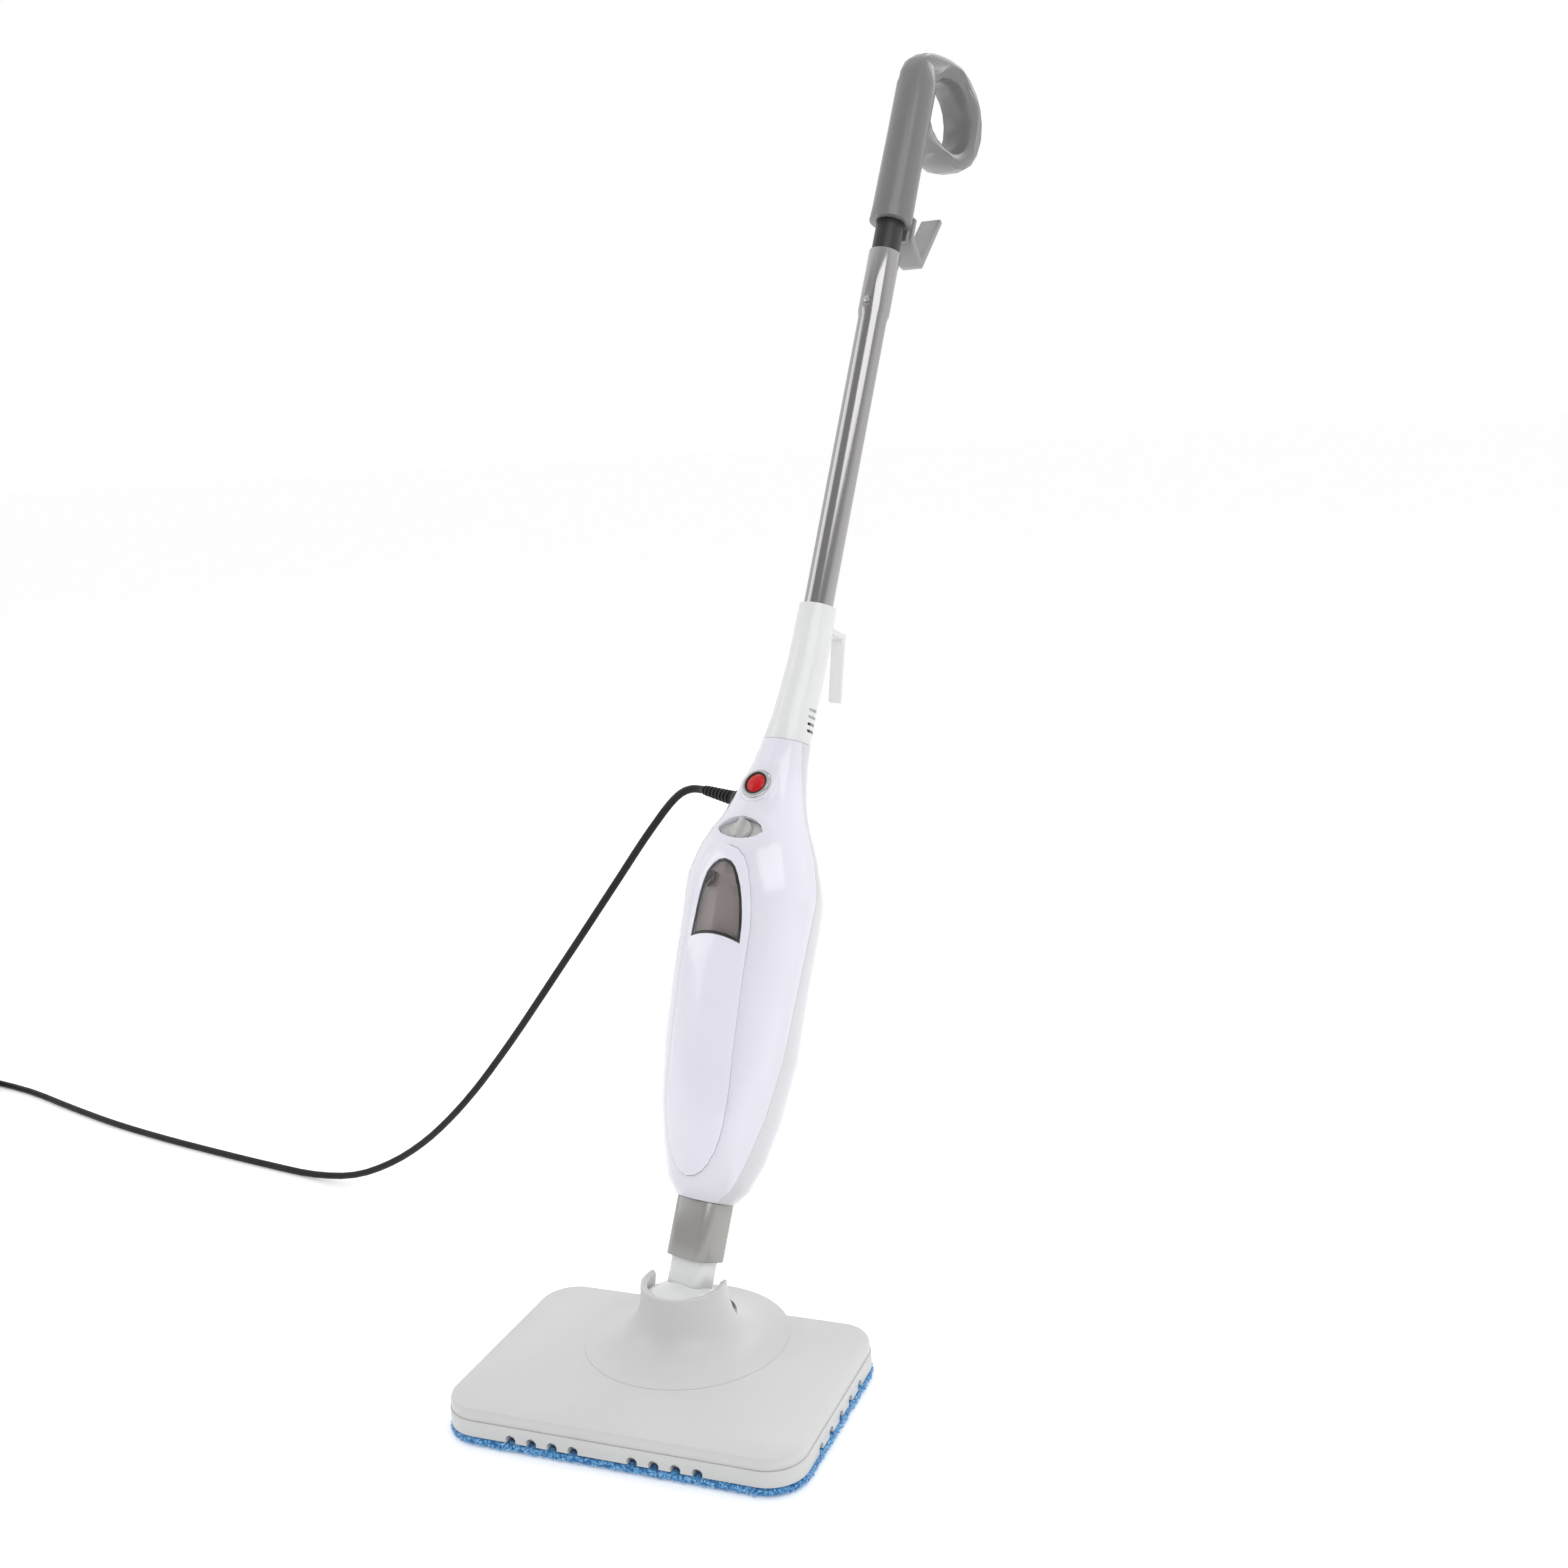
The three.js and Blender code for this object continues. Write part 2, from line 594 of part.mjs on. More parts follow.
function almondOutline(margin) {
  const wide = DIAL_OPENING_WIDTH / 2 + margin;
  const tall = DIAL_OPENING_HEIGHT / 2 + margin;
  const outline = new THREE.Shape();
  outline.moveTo(-wide, 0);
  outline.bezierCurveTo(-wide * 0.7, -tall * 1.05, wide * 0.7, -tall * 1.3, wide, 0);
  outline.bezierCurveTo(wide * 0.7, tall * 1.3, -wide * 0.7, tall * 1.05, -wide, 0);
  return outline;
}

function almond(margin, z0, z1, frame) {
  const options = { depth: z1 - z0, bevelEnabled: false, curveSegments: 8 };
  const geometry = new THREE.ExtrudeGeometry(almondOutline(margin), options);
  return solid(geometry.translate(0, 0, z0).applyMatrix4(frame));
}

const DIAL_FRAME = frontFrame(BODY_Z + DIAL_HEIGHT);
const BUTTON_FRAME = frontFrame(BODY_Z + BUTTON_HEIGHT);
const FRONT = -(BODY_DEPTH + 60); // further forward than any part of the body
const SIDE = BODY_WIDTH;
const SHELL_SCREWS = [
  ["lower_left", -0.6, 0.2],
  ["lower_right", 0.6, 0.2],
  ["middle_left", -0.66, 0.42],
  ["middle_right", 0.66, 0.42],
].map(([place, across, up]) => ({
  place,
  x: (across * BODY_WIDTH) / 2,
  z: BODY_Z + up * BODY_LENGTH,
}));

function alongY(x, z) {
  return new THREE.Matrix4().makeRotationX(-Math.PI / 2).setPosition(x, 0, z);
}

function bodyWall() {
  const outside = bodyForm(0, BODY_Z, BODY_TOP);
  const inside = bodyForm(-BODY_WALL, BODY_Z - 2, BODY_TOP + 2);
  return outside.subtract(inside);
}

// A skin that follows the body's surface within an outline on its front.
function frontSkin(outline, above, below) {
  const [z0, z1] = [BODY_Z + 6, BODY_TOP - 20];
  const layer = bodyForm(above, z0, z1).subtract(bodyForm(-below, z0 - 4, z1 + 4, 28));
  return layer.intersect(acrossY(outline, FRONT, -2));
}

function frontShell(wall) {
  const half = wall.intersect(
    block(-SIDE, SIDE, FRONT, SPLIT_BEHIND_AXIS - GAP / 2, BODY_Z - 5, BODY_TOP + 5),
  );
  const whole = bodyForm(0, BODY_Z + 10, BODY_TOP);
  const dialCollar = almond(3, -11, 12, DIAL_FRAME).intersect(whole);
  const buttonBoss = rod(BEZEL_RADIUS + 2.5, -7, 0.8, { frame: BUTTON_FRAME });
  const inside = bodyForm(-BODY_WALL + 0.5, BODY_Z + 10, BODY_TOP - 100, 16);
  const bosses = SHELL_SCREWS.map(({ x, z }) => {
    const frame = alongY(x, z);
    const boss = rod(BOSS_RADIUS, -60, SPLIT_BEHIND_AXIS - GAP / 2, { frame, segments: 14 });
    return boss.intersect(inside);
  });
  const pilots = SHELL_SCREWS.map(({ x, z }) =>
    rod(SCREW_HOLE_RADIUS, SPLIT_BEHIND_AXIS - 14, SPLIT_BEHIND_AXIS + 5, { frame: alongY(x, z), segments: 10 }),
  );
  return cut(joined([half, dialCollar, buttonBoss, ...bosses]), [
    frontSkin(tongueOutline(GAP), PANEL_PROUD + 2, PANEL_DEPTH + GAP),
    acrossY(windowOutline(-WINDOW_LEDGE), FRONT, -20),
    almond(0, -20, 20, DIAL_FRAME),
    rod(BEZEL_RADIUS - 2.2, -12, 6, { frame: BUTTON_FRAME }),
    ...pilots,
    cordExitCutter(),
  ]);
}

function rearShell(wall) {
  const half = wall.intersect(
    block(-SIDE, SIDE, SPLIT_BEHIND_AXIS + GAP / 2, SIDE, BODY_Z - 5, BODY_TOP + 5),
  );
  const z = BODY_Z + CAP_HEIGHT;
  const pad = rod(CAP_RADIUS + 2, 0, rearOf(z) + 1, { frame: alongY(0, z) });
  const padRing = pad.subtract(bodyForm(-BODY_WALL + 0.5, BODY_Z, BODY_TOP));
  const holes = SHELL_SCREWS.flatMap((screw) => {
    const frame = alongY(screw.x, screw.z);
    const top = screwSeat(screw);
    return [
      rod(SCREW_HOLE_RADIUS, SPLIT_BEHIND_AXIS, top + 20, { frame, segments: 10 }),
      rod(SCREW_HEAD_RADIUS + GAP, top, top + 20, { frame, segments: 16 }),
    ];
  });
  const filler = rod(CAP_RADIUS - 4, 0, 100, { frame: alongY(0, z) });
  return cut(half.add(padRing), [filler, ...holes, cordExitCutter()]);
}

function rearOf(z) {
  const s = sectionAt(z);
  return s.b - s.forward;
}

// Where a shell screw's head seats: just under the rear surface at its place.
function screwSeat({ x, z }) {
  const s = sectionAt(z);
  return s.b * Math.sqrt(1 - (x / s.a) ** 2) - s.forward - 2;
}

function shellScrew(screw) {
  const frame = alongY(screw.x, screw.z);
  const top = screwSeat(screw);
  const head = rod(SCREW_HEAD_RADIUS, top + GAP, top + 2, { frame, segments: 16 });
  const foot = SPLIT_BEHIND_AXIS - 12;
  return head.add(rod(SCREW_SHANK_RADIUS, foot, top + 1, { frame, segments: 8 }));
}

function frontPanel() {
  const skin = frontSkin(tongueOutline(0), PANEL_PROUD, PANEL_DEPTH);
  return skin.subtract(acrossY(windowOutline(GAP), FRONT, -10));
}

function windowLens() {
  return frontSkin(windowOutline(0), PANEL_PROUD - 0.5, PANEL_DEPTH);
}

// ---- Controls ----
function dialBezel() {
  const dish = almond(-GAP, -10, -7.2, DIAL_FRAME);
  return dish.subtract(rod(3 + GAP, -20, 5, { frame: DIAL_FRAME, segments: 14 }));
}

function steamDial() {
  const disc = rod(DIAL_RADIUS, -6.8, -3.6, { frame: DIAL_FRAME, top: DIAL_RADIUS - 0.8 });
  const fin = block(-1.7, 1.7, 1.5 - DIAL_RADIUS, DIAL_RADIUS - 1.5, -4, 1.2, DIAL_FRAME);
  return joined([disc, fin, rod(3, -18, -6, { frame: DIAL_FRAME, segments: 14 })]);
}

function steamValve() {
  const can = rod(7, -24, -10.4, { frame: DIAL_FRAME, segments: 16 });
  return can.subtract(rod(3 + GAP, -19, -5, { frame: DIAL_FRAME, segments: 14 }));
}

function buttonBezel() {
  const flange = rod(BEZEL_RADIUS, 1.1, 3, { frame: BUTTON_FRAME, top: BEZEL_RADIUS - 1.2 });
  const throat = rod(BEZEL_RADIUS - 2.5, -6, 2, { frame: BUTTON_FRAME });
  const hole = rod(BUTTON_RADIUS + 2, -10, 8, { frame: BUTTON_FRAME });
  return flange.add(throat).subtract(hole);
}

function switchHousing() {
  const can = rod(BUTTON_RADIUS + 2 - GAP, -18, 2.6, { frame: BUTTON_FRAME });
  return can.subtract(rod(BUTTON_RADIUS + GAP, -15, 6, { frame: BUTTON_FRAME }));
}

function powerButton() {
  const barrel = rod(BUTTON_RADIUS, -6, 2.6, { frame: BUTTON_FRAME });
  const crown = rod(BUTTON_RADIUS, 2.4, 4.2, { frame: BUTTON_FRAME, top: BUTTON_RADIUS - 2.6 });
  return barrel.add(crown);
}

function buttonSpring() {
  const turns = 3;
  const [bottom, top] = [-14, -6 - BUTTON_TRAVEL - GAP - 0.6];
  const points = [];
  for (let i = 0; i <= turns * 8; i++) {
    const angle = (i * Math.PI) / 4;
    const rise = bottom + ((top - bottom) * i) / (turns * 8);
    points.push([5 * Math.cos(angle), 5 * Math.sin(angle), rise]);
  }
  const path = smoothPath(points);
  const moved = path.points.map((p) => p.applyMatrix4(BUTTON_FRAME).toArray());
  return sweep(smoothPath(moved), 0.5, turns * 10, 6);
}

// ---- Inside the body ----
const BOILER_Z = BODY_Z + 42;
const PUMP_Z = BOILER_Z + BOILER_LENGTH + 14;
const TANK_Z = PUMP_Z + PUMP_LENGTH + 10;
const BOILER_BACK = 2; // the boiler and pump sit this far behind the section's centre
function innerMiddle(z) {
  return BOILER_BACK - sectionAt(z).forward;
}

function boiler() {
  const y = innerMiddle(BOILER_Z + BOILER_LENGTH / 2);
  const can = rod(BOILER_RADIUS, BOILER_Z, BOILER_Z + BOILER_LENGTH, { y });
  const outlet = rod(4, BOILER_Z - 12, BOILER_Z + 1, { y: 0, segments: 14 });
  const inlet = rod(4, BOILER_Z + BOILER_LENGTH - 1, BOILER_Z + BOILER_LENGTH + 6, { y, segments: 14 });
  const flange = ring(BOILER_RADIUS + 3, BOILER_RADIUS - 1, BOILER_Z + 38, BOILER_Z + 44, { y });
  return joined([can, outlet, inlet, flange]);
}

function thermostat() {
  const z = BOILER_Z + BOILER_LENGTH - 20;
  const y = innerMiddle(BOILER_Z + BOILER_LENGTH / 2) + BOILER_RADIUS + GAP;
  const disc = rod(8, y, y + 4, { frame: alongY(0, z), segments: 16 });
  return disc.add(block(-5, 5, y + 3, y + 7, z - 4, z + 4));
}

function pump() {
  const y = innerMiddle(BOILER_Z + BOILER_LENGTH / 2);
  const half = PUMP_SIZE / 2;
  const frame = block(-half, half, y - half, y + half, PUMP_Z, PUMP_Z + PUMP_LENGTH - 8);
  const coil = rod(half - 3, PUMP_Z + PUMP_LENGTH - 9, PUMP_Z + PUMP_LENGTH - 3, { y });
  const outlet = rod(4, PUMP_Z - 4, PUMP_Z + 1, { y, segments: 14 });
  const inlet = rod(4, PUMP_Z + PUMP_LENGTH - 4, PUMP_Z + PUMP_LENGTH, { y, segments: 14 });
  return joined([frame, coil, outlet, inlet]);
}

function hose(z0, z1) {
  const y = innerMiddle(BOILER_Z + BOILER_LENGTH / 2);
  return rod(4.5, z0 + GAP, z1 - GAP, { y, segments: 14 });
}

function steamPipe() {
  return ring(STEAM_PIPE_RADIUS, 3, DOME_RADIUS + 2, BOILER_Z - 12 - GAP, { segments: 14 });
}

function waterTank() {
  const top = TANK_Z + TANK_LENGTH;
  const outside = bodyForm(-TANK_INSET, TANK_Z, top, 18);
  const inside = bodyForm(-TANK_INSET - TANK_WALL, TANK_Z + TANK_WALL, top - TANK_WALL, 18);
  const y = innerMiddle(BOILER_Z + BOILER_LENGTH / 2);
  const drain = rod(4, TANK_Z - 4, TANK_Z + 1, { y, segments: 14 });
  const filler = rod(CAP_RADIUS - 6, 0, 100, { frame: alongY(0, BODY_Z + CAP_HEIGHT) });
  return outside.subtract(inside).add(drain).subtract(filler);
}

// The filler cap folds down on a hinge under it.
const CAP_Y = rearOf(BODY_Z + CAP_HEIGHT) + 1 + GAP;
const CAP_HINGE_Z = BODY_Z + CAP_HEIGHT - CAP_RADIUS - 1.5;
const CAP_HINGE_Y = CAP_Y + 3;

function fillerCap() {
  const z = BODY_Z + CAP_HEIGHT;
  const lid = rod(CAP_RADIUS, CAP_Y, CAP_Y + 4, { frame: alongY(0, z) });
  const stopper = rod(CAP_RADIUS - 5.5, CAP_Y - 2.5, CAP_Y + 1, { frame: alongY(0, z) });
  const turn = new THREE.Matrix4().makeRotationY(Math.PI / 2).setPosition(0, CAP_HINGE_Y, CAP_HINGE_Z);
  const barrel = rod(2.6, -6, 6, { frame: turn, segments: 12 });
  const arm = block(-6, 6, CAP_Y + 1.4, CAP_Y + 4, CAP_HINGE_Z, z - CAP_RADIUS + 4);
  return joined([lid, stopper, barrel, arm]).subtract(rod(1.5, -9, 9, { frame: turn, segments: 10 }));
}

function capHingePin() {
  const turn = new THREE.Matrix4().makeRotationY(Math.PI / 2).setPosition(0, CAP_HINGE_Y, CAP_HINGE_Z);
  const pin = rod(1.2, -9.5, 9.5, { frame: turn, segments: 10 });
  const surface = rearOf(CAP_HINGE_Z) + GAP;
  const ears = [-1, 1].map((side) => {
    const [near, far] = [side * 6.6, side * 9];
    const [x0, x1] = [Math.min(near, far), Math.max(near, far)];
    return block(x0, x1, surface + 0.4, CAP_HINGE_Y + 2, CAP_HINGE_Z - 2, CAP_HINGE_Z + 1.6);
  });
  const foot = block(-9, 9, surface + 0.4, surface + 0.9, CAP_HINGE_Z - 9, CAP_HINGE_Z - 1.8);
  return joined([pin, ...ears, foot]);
}

// ---- Handle ----
function handleSocket() {
  const form = bodyForm(0, SOCKET_Z, SOCKET_TOP, 28);
  const s = sectionAt(BODY_TOP);
  const plug = Math.min(s.a, s.b) - BODY_WALL - 1.5;
  const centre = -s.forward;
  const spigot = ring(plug, plug - 2.5, BODY_TOP - 10, SOCKET_Z + 2, { y: centre, segments: 20 });
  const bore = rod(TUBE_RADIUS + GAP, TUBE_Z - GAP, SOCKET_TOP + 5, { segments: 28 });
  const hollow = bodyForm(-BODY_WALL, SOCKET_Z + 3, TUBE_Z - GAP - 3, 28);
  const wireWay = rod(5, SOCKET_Z - 2, SOCKET_Z + 6, { y: centre, segments: 12 });
  return cut(form, [bore, hollow, wireWay]).add(spigot);
}

// A hook outline in Y and height: a foot on the handle, a bridge back, and an arm along it.
// direction is -1 for an arm that hangs down, 1 for one that stands up.
function hookOutline(y, z, reach, arm, direction) {
  const t = HOOK_THICKNESS;
  const d = direction;
  const outline = new THREE.Shape();
  outline.moveTo(y, z);
  outline.lineTo(y + reach, z);
  outline.lineTo(y + reach + arm * 0.22, z + d * arm);
  outline.lineTo(y + reach + arm * 0.22 - t, z + d * arm);
  outline.lineTo(y + reach - t, z + d * t * 1.4);
  outline.lineTo(y + t, z + d * t * 1.4);
  outline.lineTo(y + t, z + d * arm * 0.42);
  outline.lineTo(y, z + d * arm * 0.42);
  outline.closePath();
  return outline;
}

const LOWER_HOOK_Z = SOCKET_TOP - 13;
function lowerHook() {
  const low = sectionAt(LOWER_HOOK_Z - 26);
  const y = low.b - low.forward + GAP;
  return acrossX(hookOutline(y, LOWER_HOOK_Z, 25, 60, -1), HOOK_WIDTH * 0.6, 1, 1);
}

function handleTube() {
  const swageZ = TUBE_TOP - SWAGE_LENGTH;
  const wall = turned(
    [
      [TUBE_RADIUS - TUBE_WALL, TUBE_Z],
      [TUBE_RADIUS, TUBE_Z],
      [TUBE_RADIUS, swageZ - 5],
      [SWAGE_RADIUS, swageZ],
      [SWAGE_RADIUS, TUBE_TOP],
      [INSERT_RADIUS + GAP, TUBE_TOP],
      [INSERT_RADIUS + GAP, swageZ],
      [TUBE_RADIUS - TUBE_WALL, swageZ - 5],
      [TUBE_RADIUS - TUBE_WALL, TUBE_Z],
    ],
    28,
  );
  const frame = alongY(0, swageZ + 8);
  return wall.subtract(rod(SNAP_RADIUS + GAP, -40, 0, { frame, segments: 12 }));
}

// A sprung snap button on the insert holds the grip in the tube.
const SNAP_RADIUS = 3;
const SNAP_Z = TUBE_TOP - SWAGE_LENGTH + 8;

function snapButton() {
  const frame = alongY(0, SNAP_Z);
  return rod(SNAP_RADIUS, -SWAGE_RADIUS - 1.2, -6, { frame, segments: 12 });
}

function gripInsert() {
  const foot = TUBE_TOP - SWAGE_LENGTH + 2;
  const body = rod(INSERT_RADIUS, foot, GRIP_Z + 30, { segments: 28 });
  const frame = alongY(0, SNAP_Z);
  const pocket = rod(SNAP_RADIUS + GAP, -30, -2, { frame, segments: 12 });
  return body.subtract(pocket);
}

// The grip in Y and height: the shaft, and the loop that bends back from its top.
function gripOutline() {
  const z = GRIP_Z;
  const r = GRIP_RADIUS - 1.5;
  const outline = new THREE.Shape();
  outline.moveTo(-r, z + 60);
  outline.lineTo(r, z + 60);
  outline.bezierCurveTo(r + 2, z + 78, r + 10, z + 84, 46, z + 82);
  outline.bezierCurveTo(82, z + 81, 103, z + 104, 103, z + 132);
  outline.bezierCurveTo(100, z + 162, 76, z + 178, 46, z + 179);
  outline.bezierCurveTo(16, z + 179, -r + 2, z + 164, -r, z + 142);
  outline.closePath();
  const hole = new THREE.Path();
  hole.moveTo(42, z + 97);
  hole.bezierCurveTo(66, z + 96, 80, z + 112, 79, z + 128);
  hole.bezierCurveTo(78, z + 148, 62, z + 158, 44, z + 158);
  hole.bezierCurveTo(24, z + 158, 14, z + 146, 14, z + 128);
  hole.bezierCurveTo(14, z + 112, 24, z + 98, 42, z + 97);
  outline.holes.push(hole);
  return outline;
}

const LUG_Y = SWAGE_RADIUS + 1;
const LUG_THICKNESS = 6;
const LUG_BOTTOM = GRIP_Z - 10;
const HOOK_AXIS_Z = GRIP_Z + 4;
function grip() {
  const loop = acrossX(gripOutline(), LOOP_THICKNESS, 7, 2);
  const shaft = turned(
    [
      [0, GRIP_Z],
      [GRIP_RADIUS + 0.5, GRIP_Z],
      [GRIP_RADIUS, GRIP_Z + 12],
      [GRIP_RADIUS - 0.7, GRIP_Z + 90],
      [GRIP_RADIUS - 0.7, GRIP_Z + 134],
      [GRIP_RADIUS - 5, GRIP_Z + 152],
      [GRIP_RADIUS - 12, GRIP_Z + 159],
      [0, GRIP_Z + 161],
    ],
    28,
  );
  const bore = rod(INSERT_RADIUS + GAP, GRIP_Z - 5, GRIP_Z + 110, { segments: 28 });
  const lug = block(-9, 9, LUG_Y, LUG_Y + LUG_THICKNESS, LUG_BOTTOM, GRIP_Z + 16);
  const hole = rod(2 + GAP, 0, 40, { frame: alongY(0, HOOK_AXIS_Z), segments: 12 });
  return cut(joined([loop, shaft.subtract(bore), lug]), [bore, hole]);
}

function upperHook() {
  const y = LUG_Y + LUG_THICKNESS + GAP;
  const z = HOOK_AXIS_Z - 11;
  const t = HOOK_THICKNESS;
  const outline = new THREE.Shape();
  outline.moveTo(y, z);
  outline.lineTo(y + 20, z - 14);
  outline.lineTo(y + 27, z - 14);
  outline.lineTo(y + 46, z + 40);
  outline.lineTo(y + 46 - t, z + 42);
  outline.lineTo(y + 24 - t * 0.3, z - 7);
  outline.lineTo(y + t, z + 6);
  outline.lineTo(y + t, z + 22);
  outline.lineTo(y, z + 22);
  outline.closePath();
  const hook = acrossX(outline, HOOK_WIDTH, 1, 1);
  return hook.subtract(rod(2 + GAP, 0, 40, { frame: alongY(0, HOOK_AXIS_Z), segments: 12 }));
}

function hookScrew() {
  const frame = alongY(0, HOOK_AXIS_Z);
  const y = LUG_Y + LUG_THICKNESS + GAP + HOOK_THICKNESS + GAP;
  return rod(2, LUG_Y + 0.5, y + 1, { frame, segments: 10 }).add(rod(4, y, y + 2, { frame, segments: 14 }));
}

// ---- Cord ----
const EXIT_Z = BODY_Z + CORD_EXIT_HEIGHT;
const EXIT = sectionAt(EXIT_Z);
const GLAND_RADIUS = 8;
const RELIEF_LENGTH = 34;

// Matrix whose Z runs out of the body's left side at the cord's exit.
const EXIT_FRAME = new THREE.Matrix4()
  .makeRotationY(THREE.MathUtils.degToRad(CORD_EXIT_TILT - 90))
  .setPosition(-EXIT.a, -EXIT.forward, EXIT_Z);

function cordExitCutter() {
  return rod(GLAND_RADIUS - 2 + GAP, -12, 12, { frame: EXIT_FRAME, segments: 20 });
}

function cordGland() {
  const flange = rod(GLAND_RADIUS, 1.2, 4, { frame: EXIT_FRAME, top: GLAND_RADIUS - 0.8, segments: 20 });
  const throat = rod(GLAND_RADIUS - 2, -7, 2, { frame: EXIT_FRAME, segments: 20 });
  return flange.add(throat).subtract(bodyForm(GAP, BODY_Z + 200, BODY_TOP).intersect(
    ring(GLAND_RADIUS + 6, GLAND_RADIUS - 2, -12, 12, { frame: EXIT_FRAME, segments: 20 }),
  ));
}

function strainRelief() {
  const start = 4 + GAP;
  return rod(6.4, start, start + RELIEF_LENGTH, { frame: EXIT_FRAME, top: CORD_RADIUS + 0.9, segments: 16 });
}

// The cord's route in the part's frame, chosen by hand: out of the relief, down and along the floor.
const CORD_ROUTE = [
  [-31, 221, 457.5],
  [-43, 223.5, 457.5],
  [-55, 225.5, 453],
  [-68, 227.5, 442],
  [-84, 230, 424],
  [-102, 232, 402],
  [-126, 235, 371],
  [-151, 238, 339],
  [-176, 241, 307],
  [-202, 244, 274],
  [-228, 247, 241],
  [-256, 251, 206],
  [-286, 255, 170],
  [-318, 260, 134],
  [-353, 265, 99],
  [-392, 271, 66],
  [-437, 277, 37],
  [-488, 284, 15],
  [-546, 293, 5],
  [-612, 304, 3.6],
  [-690, 318, 3.6],
  [-780, 336, 3.6],
  [-870, 358, 3.6],
  [-960, 386, 3.6],
  [-1050, 416, 3.6],
  [-1138, 434, 3.6],
];
const COIL_CENTRE = [-1160, 380];
const COIL_OUTER = COIL_MEAN_RADIUS + COIL_BAND / 2;
const COIL_INNER = COIL_MEAN_RADIUS - COIL_BAND / 2;
const COIL_TOP = COIL_LIFT + COIL_BAND;
const PLUG_X = COIL_CENTRE[0] - COIL_OUTER + CORD_RADIUS;
const PLUG_Y = COIL_CENTRE[1] - 74;
const PLUG_RADIUS = 14;
const PLUG_LENGTH = 36;

function powerCord() {
  return sweep(smoothPath(CORD_ROUTE), CORD_RADIUS, 56, 8);
}

function cordCoil() {
  const made = turned(
    [
      [COIL_INNER, COIL_LIFT + 3],
      [COIL_INNER + 3, COIL_LIFT],
      [COIL_OUTER - 3, COIL_LIFT],
      [COIL_OUTER, COIL_LIFT + 3],
      [COIL_OUTER, COIL_TOP - 3],
      [COIL_OUTER - 3, COIL_TOP],
      [COIL_INNER + 3, COIL_TOP],
      [COIL_INNER, COIL_TOP - 3],
      [COIL_INNER, COIL_LIFT + 3],
    ],
    28,
  );
  return made.translate([...COIL_CENTRE, 0]);
}

// The tie's middle stands over the coil's mean radius, turned away from where the cord comes in.
const TIE_ANGLE = -0.25 * Math.PI;
function cordTie() {
  const [low, high] = [COIL_INNER - TIE_CLEARANCE, COIL_OUTER + GAP];
  const frame = new THREE.Matrix4().makeRotationZ(TIE_ANGLE).setPosition(...COIL_CENTRE, 0);
  const half = TIE_WIDTH / 2;
  const t = TIE_THICKNESS;
  const outside = block(low - t, high + t, -half, half, 0, COIL_TOP + GAP + t, frame);
  return outside.subtract(block(low, high, -half - 1, half + 1, t, COIL_TOP + GAP, frame));
}

const TAIL_ROUTE = [
  [PLUG_X, COIL_CENTRE[1] - 28, 23],
  [PLUG_X, COIL_CENTRE[1] - 40, 20.5],
  [PLUG_X, COIL_CENTRE[1] - 52, 17],
  [PLUG_X, COIL_CENTRE[1] - 63, 14.6],
  [PLUG_X, COIL_CENTRE[1] - 74, 14.2],
];
function cordTail() {
  return sweep(smoothPath(TAIL_ROUTE), CORD_RADIUS, 8, 10);
}

// The plug lies on the floor beside the coil, its pins pointing to the front.
function plugFrame() {
  return new THREE.Matrix4()
    .makeRotationX(Math.PI / 2)
    .setPosition(PLUG_X, PLUG_Y - GAP, PLUG_RADIUS + 0.2);
}

function plugBody() {
  const frame = plugFrame();
  const tail = rod(6, 0, 16, { frame, top: 9, segments: 20 });
  return tail.add(rod(PLUG_RADIUS - 2, 15, 15 + PLUG_LENGTH - 15, { frame, top: PLUG_RADIUS }));
}

function plugPin(side) {
  const frame = plugFrame();
  return rod(2.2, PLUG_LENGTH + GAP, PLUG_LENGTH + 19, { frame, x: side * 8, segments: 12 });
}

// ---- Assembly ----
const mop = new THREE.Group();
const head = new THREE.Group();
const swivel = new THREE.Group();
const mast = new THREE.Group();
swivel.position.set(0, PIVOT_BEHIND_CENTRE, 0);
swivel.rotation.z = THREE.MathUtils.degToRad(-TURN);
mast.position.set(0, 0, PIVOT_HEIGHT);
mast.rotation.x = THREE.MathUtils.degToRad(-LEAN);
swivel.add(mast);
mop.add(head, swivel);

addMesh(head, "mop_pad", mopPad(), BLUE);
addMesh(head, "base_plate", basePlate(), HEAD_WHITE);
addMesh(head, "head_cover", headCover(), HEAD_WHITE);
addMesh(head, "steam_spreader", steamSpreader(), GREY);
for (const screw of HEAD_SCREWS)
  addMesh(head, "head_screw_" + screw.place, headScrew(screw), STEEL);

addMesh(swivel, "swivel_post", swivelPost(), GREY);
addMesh(mast, "tilt_pin", tiltPin(), STEEL);
addMesh(mast, "swivel_dome", swivelDome(), HEAD_WHITE);
addMesh(mast, "neck", neck(), HEAD_WHITE);
addMesh(mast, "coupling_sleeve", couplingSleeve(), GREY);

const wall = bodyWall();
addMesh(mast, "front_shell", frontShell(wall), WHITE);
addMesh(mast, "rear_shell", rearShell(wall), WHITE);
addMesh(mast, "front_panel", frontPanel(), WHITE);
addMesh(mast, "window_lens", windowLens(), SMOKE);
for (const screw of SHELL_SCREWS)
  addMesh(mast, "shell_screw_" + screw.place, shellScrew(screw), STEEL);

